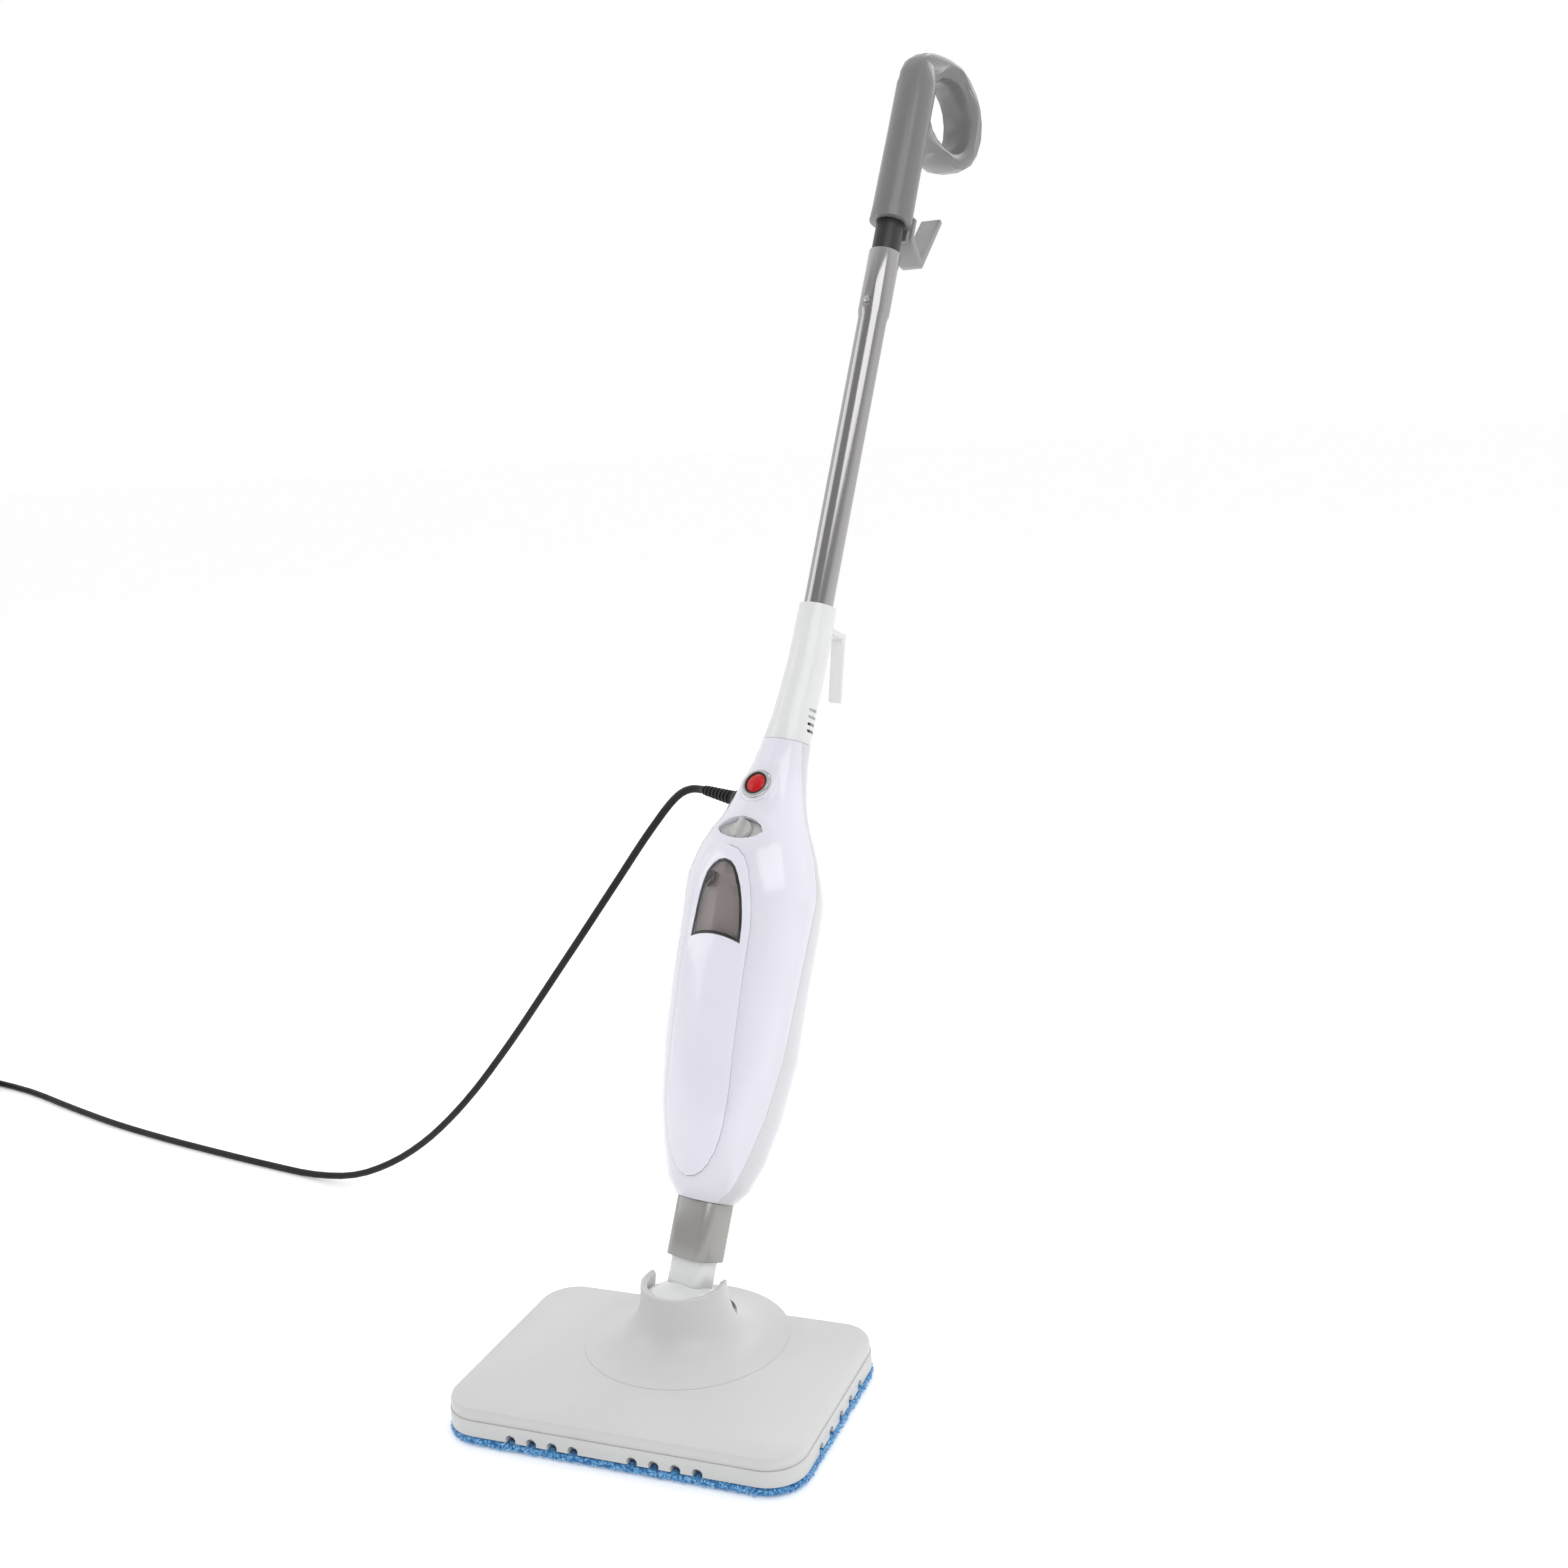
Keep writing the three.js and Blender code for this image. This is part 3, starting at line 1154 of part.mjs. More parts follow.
addMesh(mast, "dial_bezel", dialBezel(), GREY);
addMesh(mast, "steam_dial", steamDial(), GREY);
addMesh(mast, "steam_valve", steamValve(), BRASS);
addMesh(mast, "button_bezel", buttonBezel(), CHROME);
addMesh(mast, "switch_housing", switchHousing(), BLACK);
addMesh(mast, "power_button", powerButton(), RED);
addMesh(mast, "button_spring", buttonSpring(), STEEL);

addMesh(mast, "boiler", boiler(), CAST);
addMesh(mast, "thermostat", thermostat(), BLACK);
addMesh(mast, "pump", pump(), BLACK);
addMesh(mast, "boiler_hose", hose(BOILER_Z + BOILER_LENGTH + 6, PUMP_Z - 4), GREY);
addMesh(mast, "feed_hose", hose(PUMP_Z + PUMP_LENGTH, TANK_Z - 4), GREY);
addMesh(mast, "steam_pipe", steamPipe(), BRASS);
addMesh(mast, "water_tank", waterTank(), SMOKE);
addMesh(mast, "filler_cap", fillerCap(), GREY);
addMesh(mast, "cap_hinge", capHingePin(), GREY);

addMesh(mast, "handle_socket", handleSocket(), WHITE);
addMesh(mast, "lower_cord_hook", lowerHook(), WHITE);
addMesh(mast, "handle_tube", handleTube(), CHROME);
addMesh(mast, "snap_button", snapButton(), STEEL);
addMesh(mast, "grip_insert", gripInsert(), BLACK);
addMesh(mast, "grip", grip(), GREY);
addMesh(mast, "upper_cord_hook", upperHook(), GREY);
addMesh(mast, "hook_screw", hookScrew(), STEEL);

addMesh(mast, "cord_gland", cordGland(), BLACK);
addMesh(mast, "strain_relief", strainRelief(), BLACK);
addMesh(mop, "power_cord", powerCord(), BLACK);
addMesh(mop, "cord_coil", cordCoil(), BLACK);
addMesh(mop, "cord_tie", cordTie(), BLACK);
addMesh(mop, "cord_tail", cordTail(), BLACK);
addMesh(mop, "plug_body", plugBody(), BLACK);
addMesh(mop, "plug_pin_left", plugPin(-1), CHROME);
addMesh(mop, "plug_pin_right", plugPin(1), CHROME);

export default mop;
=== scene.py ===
import json
import math
import random

import bpy
from mathutils import Euler, Matrix, Vector


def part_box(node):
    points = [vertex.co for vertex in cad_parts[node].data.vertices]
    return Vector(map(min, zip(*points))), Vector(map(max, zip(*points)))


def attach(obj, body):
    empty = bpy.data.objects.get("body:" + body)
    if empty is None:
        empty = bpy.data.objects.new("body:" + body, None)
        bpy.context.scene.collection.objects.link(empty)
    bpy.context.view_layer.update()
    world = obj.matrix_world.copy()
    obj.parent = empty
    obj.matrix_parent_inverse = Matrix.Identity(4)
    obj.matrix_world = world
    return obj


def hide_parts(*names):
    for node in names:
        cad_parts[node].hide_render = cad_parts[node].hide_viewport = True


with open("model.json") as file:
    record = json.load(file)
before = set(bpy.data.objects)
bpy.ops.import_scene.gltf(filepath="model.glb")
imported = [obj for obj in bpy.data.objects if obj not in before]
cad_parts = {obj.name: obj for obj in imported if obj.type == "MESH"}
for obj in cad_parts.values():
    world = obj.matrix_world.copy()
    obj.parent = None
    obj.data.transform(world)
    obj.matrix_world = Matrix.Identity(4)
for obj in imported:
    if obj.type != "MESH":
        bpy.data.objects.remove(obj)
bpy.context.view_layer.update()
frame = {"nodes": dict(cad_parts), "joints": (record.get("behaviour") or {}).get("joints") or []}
bpy.ops.object.select_all(action="DESELECT")


# ---- Camera ----
# A standing eye in front of the mop and a little to its right, looking slightly down.
# It is rolled a few degrees, so the mast stands steeper than it leans.
azimuth, elevation, roll = (math.radians(a) for a in (21.364, 12.052, -3.029))
look_at = Vector((0.0044, 0.3237, 0.4413))
back = Vector((math.sin(azimuth) * math.cos(elevation), -math.cos(azimuth) * math.cos(elevation), math.sin(elevation)))
level_right = Vector((math.cos(azimuth), math.sin(azimuth), 0))
level_up = back.cross(level_right)
right = level_right * math.cos(roll) + level_up * math.sin(roll)
up = level_up * math.cos(roll) - level_right * math.sin(roll)
turned_to = Matrix((right, up, back)).transposed().to_4x4()
camera_data = bpy.data.cameras.new("camera")
camera_data.lens = 40.97
camera_data.sensor_width = 36
camera = bpy.data.objects.new("camera", camera_data)
camera.matrix_world = Matrix.Translation(look_at + back * 1.6515) @ turned_to
bpy.context.collection.objects.link(camera)
bpy.context.scene.camera = camera


# ---- Mains cord ----
# A round black rubber lead, 7 mm thick and about 5 m long. It leaves the body's left side, falls to
# the floor and runs off to a neat coil of 14 turns, which a strap holds.
CORD_RADIUS = 0.0035
cord_route = [
    (-0.031, 0.221, 0.4575), (-0.043, 0.2235, 0.4575), (-0.055, 0.2255, 0.453), (-0.068, 0.2275, 0.442),
    (-0.084, 0.230, 0.424), (-0.102, 0.232, 0.402), (-0.126, 0.235, 0.371), (-0.151, 0.238, 0.339),
    (-0.176, 0.241, 0.307), (-0.202, 0.244, 0.274), (-0.228, 0.247, 0.241), (-0.256, 0.251, 0.206),
    (-0.286, 0.255, 0.170), (-0.318, 0.260, 0.134), (-0.353, 0.265, 0.099), (-0.392, 0.271, 0.066),
    (-0.437, 0.277, 0.037), (-0.488, 0.284, 0.015), (-0.546, 0.293, 0.005), (-0.612, 0.304, 0.0036),
    (-0.690, 0.318, 0.0036), (-0.780, 0.336, 0.0036), (-0.870, 0.358, 0.0036), (-0.960, 0.386, 0.0036),
    (-1.050, 0.416, 0.0036), (-1.138, 0.434, 0.0036),
]
coil_low, coil_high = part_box("cord_coil")
coil_centre = (Vector(coil_low) + Vector(coil_high)) / 2
outer_turn = (coil_high[0] - coil_low[0]) / 2 - CORD_RADIUS
lowest_turn = coil_low[2] + CORD_RADIUS
pitch = 2 * CORD_RADIUS
# Each turn's place in the coil, as (columns in from the outside, rows up from the floor).
wound = [(0, 0), (1, 0), (2, 0), (3, 0), (3, 1), (2, 1), (1, 1), (0, 1), (0, 2), (1, 2), (2, 2), (2, 3), (1, 3), (0, 3)]
POINTS_A_TURN = 24
first_angle, last_angle = math.radians(85), math.radians(180)
coil_points = []
steps = len(wound) * POINTS_A_TURN + round(POINTS_A_TURN * (last_angle - first_angle) / (2 * math.pi))
for step in range(steps + 1):
    turn, part = divmod(step / POINTS_A_TURN, 1)
    here = wound[min(int(turn), len(wound) - 1)]
    after = wound[min(int(turn) + 1, len(wound) - 1)]
    shift = max(0, (part - 0.7) / 0.3)
    shift = shift * shift * (3 - 2 * shift)
    radius = outer_turn - pitch * (here[0] + (after[0] - here[0]) * shift)
    height = lowest_turn + pitch * (here[1] + (after[1] - here[1]) * shift)
    angle = first_angle + 2 * math.pi * step / POINTS_A_TURN
    coil_points.append((coil_centre[0] + radius * math.cos(angle), coil_centre[1] + radius * math.sin(angle), height))
plug_low, plug_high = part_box("plug_body")
plug_x, plug_z = (plug_low[0] + plug_high[0]) / 2, (plug_low[2] + plug_high[2]) / 2
cord_end = [(plug_x, plug_high[1] + 0.033, 0.0225), (plug_x, plug_high[1] + 0.020, 0.018), (plug_x, plug_high[1] + 0.010, 0.0148), (plug_x, plug_high[1] - 0.004, plug_z)]


def eased(points, between):
    """Points on a smooth curve through the given ones, with some between each two."""
    path = [Vector(p) for p in points]
    path = [path[0] * 2 - path[1]] + path + [path[-1] * 2 - path[-2]]
    made = []
    for a, b, c, d in zip(path, path[1:], path[2:], path[3:]):
        for k in range(between):
            t = k / between
            made.append(0.5 * (2 * b + (c - a) * t + (2 * a - 5 * b + 4 * c - d) * t * t + (3 * b - a - 3 * c + d) * t**3))
    return made + [path[-2]]


def tube_along(name, points, radius):
    """A round tube as a curve of one open spline."""
    line = bpy.data.curves.new(name, "CURVE")
    line.dimensions = "3D"
    line.bevel_depth = radius
    line.bevel_resolution = 4
    line.use_fill_caps = True
    spline = line.splines.new("POLY")
    spline.points.add(len(points) - 1)
    for at, point in zip(spline.points, points):
        at.co = (*point, 1)
    spline.use_smooth = True
    made = bpy.data.objects.new(name, line)
    bpy.context.collection.objects.link(made)
    return made


cord_line = eased(cord_route + coil_points + cord_end, 3)
cord = tube_along("mains_cord", cord_line, CORD_RADIUS)
bpy.ops.object.select_all(action="DESELECT")
cord.select_set(True)
bpy.context.view_layer.objects.active = cord
bpy.ops.object.convert(target="MESH")
bpy.ops.object.shade_smooth_by_angle(angle=math.radians(50))
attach(cord, "main_body")
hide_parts("power_cord", "cord_coil", "cord_tail")


def finish_of(name, colour, roughness, grain, depth, metal=0.0, coat=0.0, vary=0.04, scuffs=0.06, streaks=None):
    """A material with its own grain, cloudy colour, scuffs in the gloss and worn edges.
    grain is the size of the grain and depth its height, in metres. streaks draws the grain out along the mast."""
    made = bpy.data.materials.new(name)
    made.use_nodes = True
    nodes, link = made.node_tree.nodes, made.node_tree.links.new
    shader = nodes["Principled BSDF"]
    shader.inputs["Metallic"].default_value = metal
    shader.inputs["Coat Weight"].default_value = coat
    shader.inputs["Coat Roughness"].default_value = 0.06
    place = nodes.new("ShaderNodeTexCoord")
    at = place.outputs["Object"]
    if streaks:
        turn_upright = nodes.new("ShaderNodeMapping")
        turn_upright.inputs["Rotation"].default_value = mast.inverted().to_euler()
        link(at, turn_upright.inputs["Vector"])
        draw_out = nodes.new("ShaderNodeMapping")
        draw_out.inputs["Scale"].default_value = (1, 1, 1 / streaks)
        link(turn_upright.outputs["Vector"], draw_out.inputs["Vector"])
        at = draw_out.outputs["Vector"]

    def noise(size, detail):
        made_noise = nodes.new("ShaderNodeTexNoise")
        made_noise.inputs["Scale"].default_value = 1 / size
        made_noise.inputs["Detail"].default_value = detail
        link(at, made_noise.inputs["Vector"])
        return made_noise.outputs["Fac"]

    def spread(value, low, high, to_low, to_high):
        made_range = nodes.new("ShaderNodeMapRange")
        link(value, made_range.inputs["Value"])
        for socket, number in zip(("From Min", "From Max", "To Min", "To Max"), (low, high, to_low, to_high)):
            made_range.inputs[socket].default_value = number
        return made_range.outputs["Result"]

    clouds = nodes.new("ShaderNodeMix")
    clouds.data_type = "RGBA"
    link(spread(noise(0.045, 3), 0.35, 0.65, 0, 1), clouds.inputs["Factor"])
    clouds.inputs["A"].default_value = (*[c * (1 - vary) for c in colour], 1)
    clouds.inputs["B"].default_value = (*colour, 1)
    edges = nodes.new("ShaderNodeNewGeometry")
    worn = nodes.new("ShaderNodeMix")
    worn.data_type = "RGBA"
    link(spread(edges.outputs["Pointiness"], 0.53, 0.62, 0, 0.5), worn.inputs["Factor"])
    link(clouds.outputs["Result"], worn.inputs["A"])
    worn.inputs["B"].default_value = (*[min(1, c * 0.75 + 0.12) for c in colour], 1)
    link(worn.outputs["Result"], shader.inputs["Base Color"])
    link(spread(noise(0.012, 6), 0.45, 0.75, roughness, roughness + scuffs), shader.inputs["Roughness"])
    bump = nodes.new("ShaderNodeBump")
    bump.inputs["Strength"].default_value = 0.6
    bump.inputs["Distance"].default_value = depth
    link(noise(grain, 4), bump.inputs["Height"])
    link(bump.outputs["Normal"], shader.inputs["Normal"])
    return made


# The mast's own directions: X along the swivel's tilt pin, Y to the back, Z up the mast.
joints = {joint["name"]: joint for joint in frame["joints"]}
pivot = Vector(joints["head_tilt"]["pos_m"])
mast_x = Vector(joints["head_tilt"]["axis"]).normalized()
mast_y = Vector(joints["hook_swing"]["axis"]).normalized()
mast_z = mast_x.cross(mast_y)
mast = Matrix((mast_x, mast_y, mast_z)).transposed()
mast_frame = Matrix.Translation(pivot) @ mast.to_4x4()

rubber = finish_of("cord_rubber", (0.004, 0.004, 0.0045), 0.5, 0.0009, 0.00012, scuffs=0.16)
rubber.node_tree.nodes["Principled BSDF"].inputs["Specular IOR Level"].default_value = 0.25
cord.data.materials.append(rubber)


# ---- Strain relief, gland and plug ----
# Moulded rubber. The relief is a taper with ribs, so it bends evenly where the cord leaves the
# body. The plug is a round two-pin one with a ribbed tail.
def lathe(name, rings, place, sides=32):
    """A turned solid along Z from rings of (radius, height), put in place by a matrix."""
    bpy.ops.object.select_all(action="DESELECT")
    bpy.ops.mesh.primitive_circle_add(vertices=sides, radius=rings[0][0], fill_type="NGON", location=(0, 0, rings[0][1]))
    made = bpy.context.object
    made.name = name
    bpy.ops.object.transform_apply(location=True, rotation=False, scale=False)
    bpy.ops.object.mode_set(mode="EDIT")
    bpy.ops.mesh.select_all(action="SELECT")
    for (r0, z0), (r1, z1) in zip(rings, rings[1:]):
        bpy.ops.mesh.extrude_region_move(TRANSFORM_OT_translate={"value": (0, 0, z1 - z0)})
        bpy.ops.transform.resize(value=(r1 / r0, r1 / r0, 1), center_override=(0, 0, z1))
    bpy.ops.mesh.select_all(action="SELECT")
    bpy.ops.mesh.normals_make_consistent(inside=False)
    bpy.ops.object.mode_set(mode="OBJECT")
    made.data.transform(place)
    bpy.ops.object.shade_smooth_by_angle(angle=math.radians(40))
    return made


def done(piece, body, look, slot, *nodes):
    """Gives a piece its material, its body and what it stands for."""
    piece.data.materials.clear()
    piece.data.materials.append(look)
    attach(piece, body)
    if nodes:
        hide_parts(*nodes)
    return piece


relief_length = 0.034
exit_direction = (mast @ Vector((-math.cos(math.radians(8)), 0, math.sin(math.radians(8))))).normalized()
relief_start = Vector(cord_route[0]) - exit_direction * (relief_length + 0.001)
relief_frame = Matrix.Translation(relief_start) @ exit_direction.to_track_quat("Z", "Y").to_matrix().to_4x4()
relief_rings = [(0.0058, 0), (0.0064, 0.0006)]
for rib in range(8):
    low, size = 0.0012 + rib * 0.004, 0.0064 - rib * 0.00025
    relief_rings += [(size, low), (size, low + 0.0019), (size - 0.0011, low + 0.0023), (size - 0.0011, low + 0.0036)]
relief_rings += [(0.0043, relief_length - 0.0005), (0.0038, relief_length)]
relief = done(lathe("relief_ribbed", relief_rings, relief_frame), "main_body", rubber, "cord_black", "strain_relief")

plug_frame = Matrix.Translation((plug_x, plug_high[1], plug_z)) @ Matrix.Rotation(math.pi / 2, 4, "X")
plug_rings = [(0.0048, 0), (0.0056, 0.0005)]
for rib in range(4):
    low, size = 0.002 + rib * 0.0034, 0.0064 + rib * 0.0006
    plug_rings += [(size, low), (size, low + 0.0017), (size - 0.0012, low + 0.0021), (size - 0.0012, low + 0.0032)]
plug_rings += [(0.0118, 0.0172), (0.0127, 0.019), (0.0134, 0.026), (0.014, 0.0342), (0.0134, 0.0355), (0.0122, 0.036)]
plug = done(lathe("plug_ribbed", plug_rings, plug_frame, 40), "main_body", rubber, "cord_black", "plug_body")


def finished(node, body, look, slot, edge=0.0004, smooth=35):
    """A merged copy of a CAD piece with rounded edges and even shading, which stands for it."""
    bpy.ops.object.select_all(action="DESELECT")
    piece = frame["nodes"][node].copy()
    piece.data = piece.data.copy()
    piece.name = node + "_finished"
    piece.parent = None
    piece.matrix_world = Matrix.Identity(4)
    bpy.context.collection.objects.link(piece)
    piece.hide_render = piece.hide_viewport = False
    piece.select_set(True)
    bpy.context.view_layer.objects.active = piece
    if piece.data.has_custom_normals:
        bpy.ops.mesh.customdata_custom_splitnormals_clear()
    bpy.ops.object.mode_set(mode="EDIT")
    bpy.ops.mesh.select_all(action="SELECT")
    bpy.ops.mesh.remove_doubles(threshold=0.00002)
    bpy.ops.mesh.dissolve_limited(angle_limit=math.radians(0.1))
    bpy.ops.object.mode_set(mode="OBJECT")
    if edge:
        rounding = piece.modifiers.new("rounded_edges", "BEVEL")
        rounding.width = edge
        rounding.segments = 2
        rounding.limit_method = "ANGLE"
        rounding.angle_limit = math.radians(40)
        bpy.ops.object.modifier_apply(modifier=rounding.name)
    bpy.ops.object.shade_smooth_by_angle(angle=math.radians(smooth))
    return done(piece, body, look, slot, node)


steel = finish_of("plain_steel", (0.55, 0.55, 0.54), 0.26, 0.002, 0.00003, metal=1, scuffs=0.15)
tie = finished("cord_tie", "main_body", rubber, "cord_black", edge=0.0003)
pins = [finished("plug_pin_" + side, "main_body", steel, "steel") for side in ("left", "right")]
finished("cord_gland", "main_body", rubber, "cord_black", edge=0.0005)


# ---- Floor and light ----
# A plain pale floor in a white room that is darker behind the camera, under soft white light: one
# large light from the front right, a weaker one from the left and one from behind.
bpy.ops.mesh.primitive_circle_add(vertices=96, radius=30, fill_type="NGON", location=(0, 0, 0))
floor = bpy.context.object
floor.name = "floor"
floor_paint = bpy.data.materials.new("floor_paint")
floor_paint.use_nodes = True
floor_paint.node_tree.nodes["Principled BSDF"].inputs["Base Color"].default_value = (0.95, 0.95, 0.95, 1)
floor_paint.node_tree.nodes["Principled BSDF"].inputs["Roughness"].default_value = 0.85
floor_paint.node_tree.nodes["Principled BSDF"].inputs["Emission Color"].default_value = (1, 1, 1, 1)
floor_paint.node_tree.nodes["Principled BSDF"].inputs["Emission Strength"].default_value = 0.2
floor.data.materials.append(floor_paint)
sky = bpy.data.worlds.new("white_room")
bpy.context.scene.world = sky
sky.use_nodes = True
room, background = sky.node_tree.nodes, sky.node_tree.nodes["Background"]
direction, split, strength = (room.new("ShaderNode" + kind) for kind in ("TexCoord", "SeparateXYZ", "MapRange"))
sky.node_tree.links.new(direction.outputs["Generated"], split.inputs["Vector"])
sky.node_tree.links.new(split.outputs["Y"], strength.inputs["Value"])
for socket, number in (("From Min", -0.7), ("From Max", 0.15), ("To Min", 0.45), ("To Max", 1.0)):
    strength.inputs[socket].default_value = number
sky.node_tree.links.new(strength.outputs["Result"], background.inputs["Strength"])
background.inputs["Color"].default_value = (1, 1, 1, 1)
bpy.context.scene.view_settings.view_transform = "Standard"
for name, place, size, power in (
    ("key", (1.3, -1.6, 2.4), 2.2, 26),
    ("left", (-2.2, -0.6, 1.4), 1.4, 7),
    ("rear", (0.6, 2.4, 2.2), 1.6, 10),
):
    lamp_data = bpy.data.lights.new(name, "AREA")
    lamp_data.size = size
    lamp_data.energy = power
    lamp = bpy.data.objects.new(name, lamp_data)
    lamp.location = place
    lamp.rotation_euler = (Vector((0, 0.25, 0.45)) - Vector(place)).to_track_quat("-Z", "Y").to_euler()
    bpy.context.collection.objects.link(lamp)


# ---- Mop pad ----
# A blue microfibre pad, 8 mm thick, held under the head. It has a rounded edge with short loose
# tufts all round. It is remeshed and roughened, and kept above the floor and below the base.
pad_low, pad_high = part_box("mop_pad")
PAD_CORNER = 0.0335
bpy.ops.object.select_all(action="DESELECT")
bpy.ops.mesh.primitive_cube_add(size=1)
pad = bpy.context.object
pad.name = "microfibre_pad"
pad.scale = (pad_high[0] - pad_low[0] - 0.003, pad_high[1] - pad_low[1] - 0.003, 0.0066)
pad.location = ((pad_low[0] + pad_high[0]) / 2, (pad_low[1] + pad_high[1]) / 2, 0.0042)
bpy.ops.object.transform_apply(location=True, rotation=True, scale=True)


def select_edges(piece, wanted):
    """Selects the edges whose two ends pass a test, and leaves edit mode on."""
    bpy.ops.object.mode_set(mode="EDIT")
    bpy.ops.mesh.select_mode(type="EDGE")
    bpy.ops.mesh.select_all(action="DESELECT")
    bpy.ops.object.mode_set(mode="OBJECT")
    for edge in piece.data.edges:
        a, b = (piece.data.vertices[v].co for v in edge.vertices)
        edge.select = wanted(a, b)
    bpy.ops.object.mode_set(mode="EDIT")


select_edges(pad, lambda a, b: abs(a.z - b.z) > 0.004)
bpy.ops.mesh.bevel(offset=PAD_CORNER, segments=10, affect="EDGES")
bpy.ops.object.mode_set(mode="OBJECT")
select_edges(pad, lambda a, b: abs(a.z - b.z) < 0.001)
bpy.ops.mesh.bevel(offset=0.0026, segments=3, affect="EDGES")
bpy.ops.object.mode_set(mode="OBJECT")
remesh = pad.modifiers.new("even_mesh", "REMESH")
remesh.mode = "VOXEL"
remesh.voxel_size = 0.0016
bpy.ops.object.modifier_apply(modifier=remesh.name)
for size, height in ((0.006, 0.0016), (0.0022, 0.0011)):
    clumps = bpy.data.textures.new("clumps", "CLOUDS")
    clumps.noise_scale = size
    rough = pad.modifiers.new("clumped", "DISPLACE")
    rough.texture = clumps
    rough.texture_coords = "LOCAL"
    rough.strength = height
    bpy.ops.object.modifier_apply(modifier=rough.name)
for vertex in pad.data.vertices:
    vertex.co.z = min(max(vertex.co.z, 0.0003), pad_high[2] - 0.0002)
bpy.ops.object.shade_smooth()


def microfibre(name, light, shaded_root_colour):
    """Blue loops of fibre: painted light on the tips and painted shade at the dark roots between clumps, a soft sheen
    and a fine fibrous bump.
    """
    made = bpy.data.materials.new(name)
    made.use_nodes = True
    nodes, link = made.node_tree.nodes, made.node_tree.links.new
    shader = nodes["Principled BSDF"]
    shader.inputs["Sheen Weight"].default_value = 0.5
    shader.inputs["Sheen Roughness"].default_value = 0.4
    place = nodes.new("ShaderNodeTexCoord")
    coarse, fine = nodes.new("ShaderNodeTexVoronoi"), nodes.new("ShaderNodeTexNoise")
    coarse.inputs["Scale"].default_value = 420
    fine.inputs["Scale"].default_value = 1500
    fine.inputs["Detail"].default_value = 6
    for texture in (coarse, fine):
        link(place.outputs["Object"], texture.inputs["Vector"])
    # The Voronoi clumps are painted lighter at their centres and darker at their edges: painted light on the tips and
    # painted shade at the roots between clumps.
    ramp = nodes.new("ShaderNodeValToRGB")
    ramp.color_ramp.elements[0].position, ramp.color_ramp.elements[1].position = 0.12, 0.7
    ramp.color_ramp.elements[0].color, ramp.color_ramp.elements[1].color = (*light, 1), (*shaded_root_colour, 1)
    link(coarse.outputs["Distance"], ramp.inputs["Fac"])
    link(ramp.outputs["Color"], shader.inputs["Base Color"])
    rough = nodes.new("ShaderNodeMapRange")
    rough.inputs["To Min"].default_value, rough.inputs["To Max"].default_value = 0.75, 1
    link(fine.outputs["Fac"], rough.inputs["Value"])
    link(rough.outputs["Result"], shader.inputs["Roughness"])
    bump = nodes.new("ShaderNodeBump")
    bump.inputs["Distance"].default_value = 0.0006
    link(fine.outputs["Fac"], bump.inputs["Height"])
    link(bump.outputs["Normal"], shader.inputs["Normal"])
    return made


blue = microfibre("blue_microfibre", (0.16, 0.50, 0.86), (0.02, 0.13, 0.36))
pale_blue = microfibre("pale_tufts", (0.42, 0.74, 0.97), (0.10, 0.36, 0.70))
done(pad, "mop_head", blue, "pad", "mop_pad")

# The tufts: one small finger of fibre, copied along the pad's edge with its own turn and size.
bpy.ops.object.select_all(action="DESELECT")
bpy.ops.mesh.primitive_uv_sphere_add(segments=6, ring_count=5, radius=0.0011)
tuft = bpy.context.object
finger = [v.co.copy() for v in tuft.data.vertices]
finger_faces = [tuple(p.vertices) for p in tuft.data.polygons]
bpy.data.objects.remove(tuft)
chance = random.Random(7)
half_x, half_y = (pad_high[0] - pad_low[0]) / 2 - 0.0022, (pad_high[1] - pad_low[1]) / 2 - 0.0022
middle = (Vector(pad_low) + Vector(pad_high)) / 2
edge_line = []
for sx, sy, start in ((1, 1, 0), (-1, 1, 90), (-1, -1, 180), (1, -1, 270)):
    for k in range(9):
        a = math.radians(start + 90 * k / 8)
        edge_line.append(Vector((sx * (half_x - PAD_CORNER) + PAD_CORNER * math.cos(a), sy * (half_y - PAD_CORNER) + PAD_CORNER * math.sin(a), 0)))
edge_line.append(edge_line[0])
tuft_points, tuft_faces = [], []
for a, b in zip(edge_line, edge_line[1:]):
    for _ in range(max(2, round((b - a).length / 0.0011))):
        at = a.lerp(b, chance.random()) + Vector((middle[0], middle[1], chance.uniform(0.0020, 0.0064)))
        out = Vector((b.y - a.y, a.x - b.x, 0)).normalized()
        aim = (out + Vector([chance.uniform(-0.7, 0.7) for _ in range(3)])).to_track_quat("Z", "Y")
        long = chance.uniform(1.1, 2.3)
        first = len(tuft_points)
        for co in finger:
            moved = at + aim @ Vector((co.x * 0.7, co.y * 0.7, co.z * long))
            moved.z = max(moved.z, 0.0004)
            tuft_points.append(moved)
        tuft_faces += [tuple(first + i for i in face) for face in finger_faces]
tuft_mesh = bpy.data.meshes.new("edge_tufts")
tuft_mesh.from_pydata(tuft_points, [], tuft_faces)
tufts = bpy.data.objects.new("edge_tufts", tuft_mesh)
bpy.context.collection.objects.link(tufts)
for face in tuft_mesh.polygons:
    face.use_smooth = True
done(tufts, "mop_head", pale_blue, "pad")


# ---- Mop head ----
# A moulded white base with steam vents and a cover with a collar round the swivel, fixed from
# below by four screws. The plastic is satin, with a fine spark grain.
head_white = finish_of("head_plastic", (0.62, 0.625, 0.62), 0.36, 0.0007, 0.00004, vary=0.025)
finished("base_plate", "mop_head", head_white, "head_white", edge=0.0007)
finished("head_cover", "mop_head", head_white, "head_white", edge=0.0009, smooth=45)


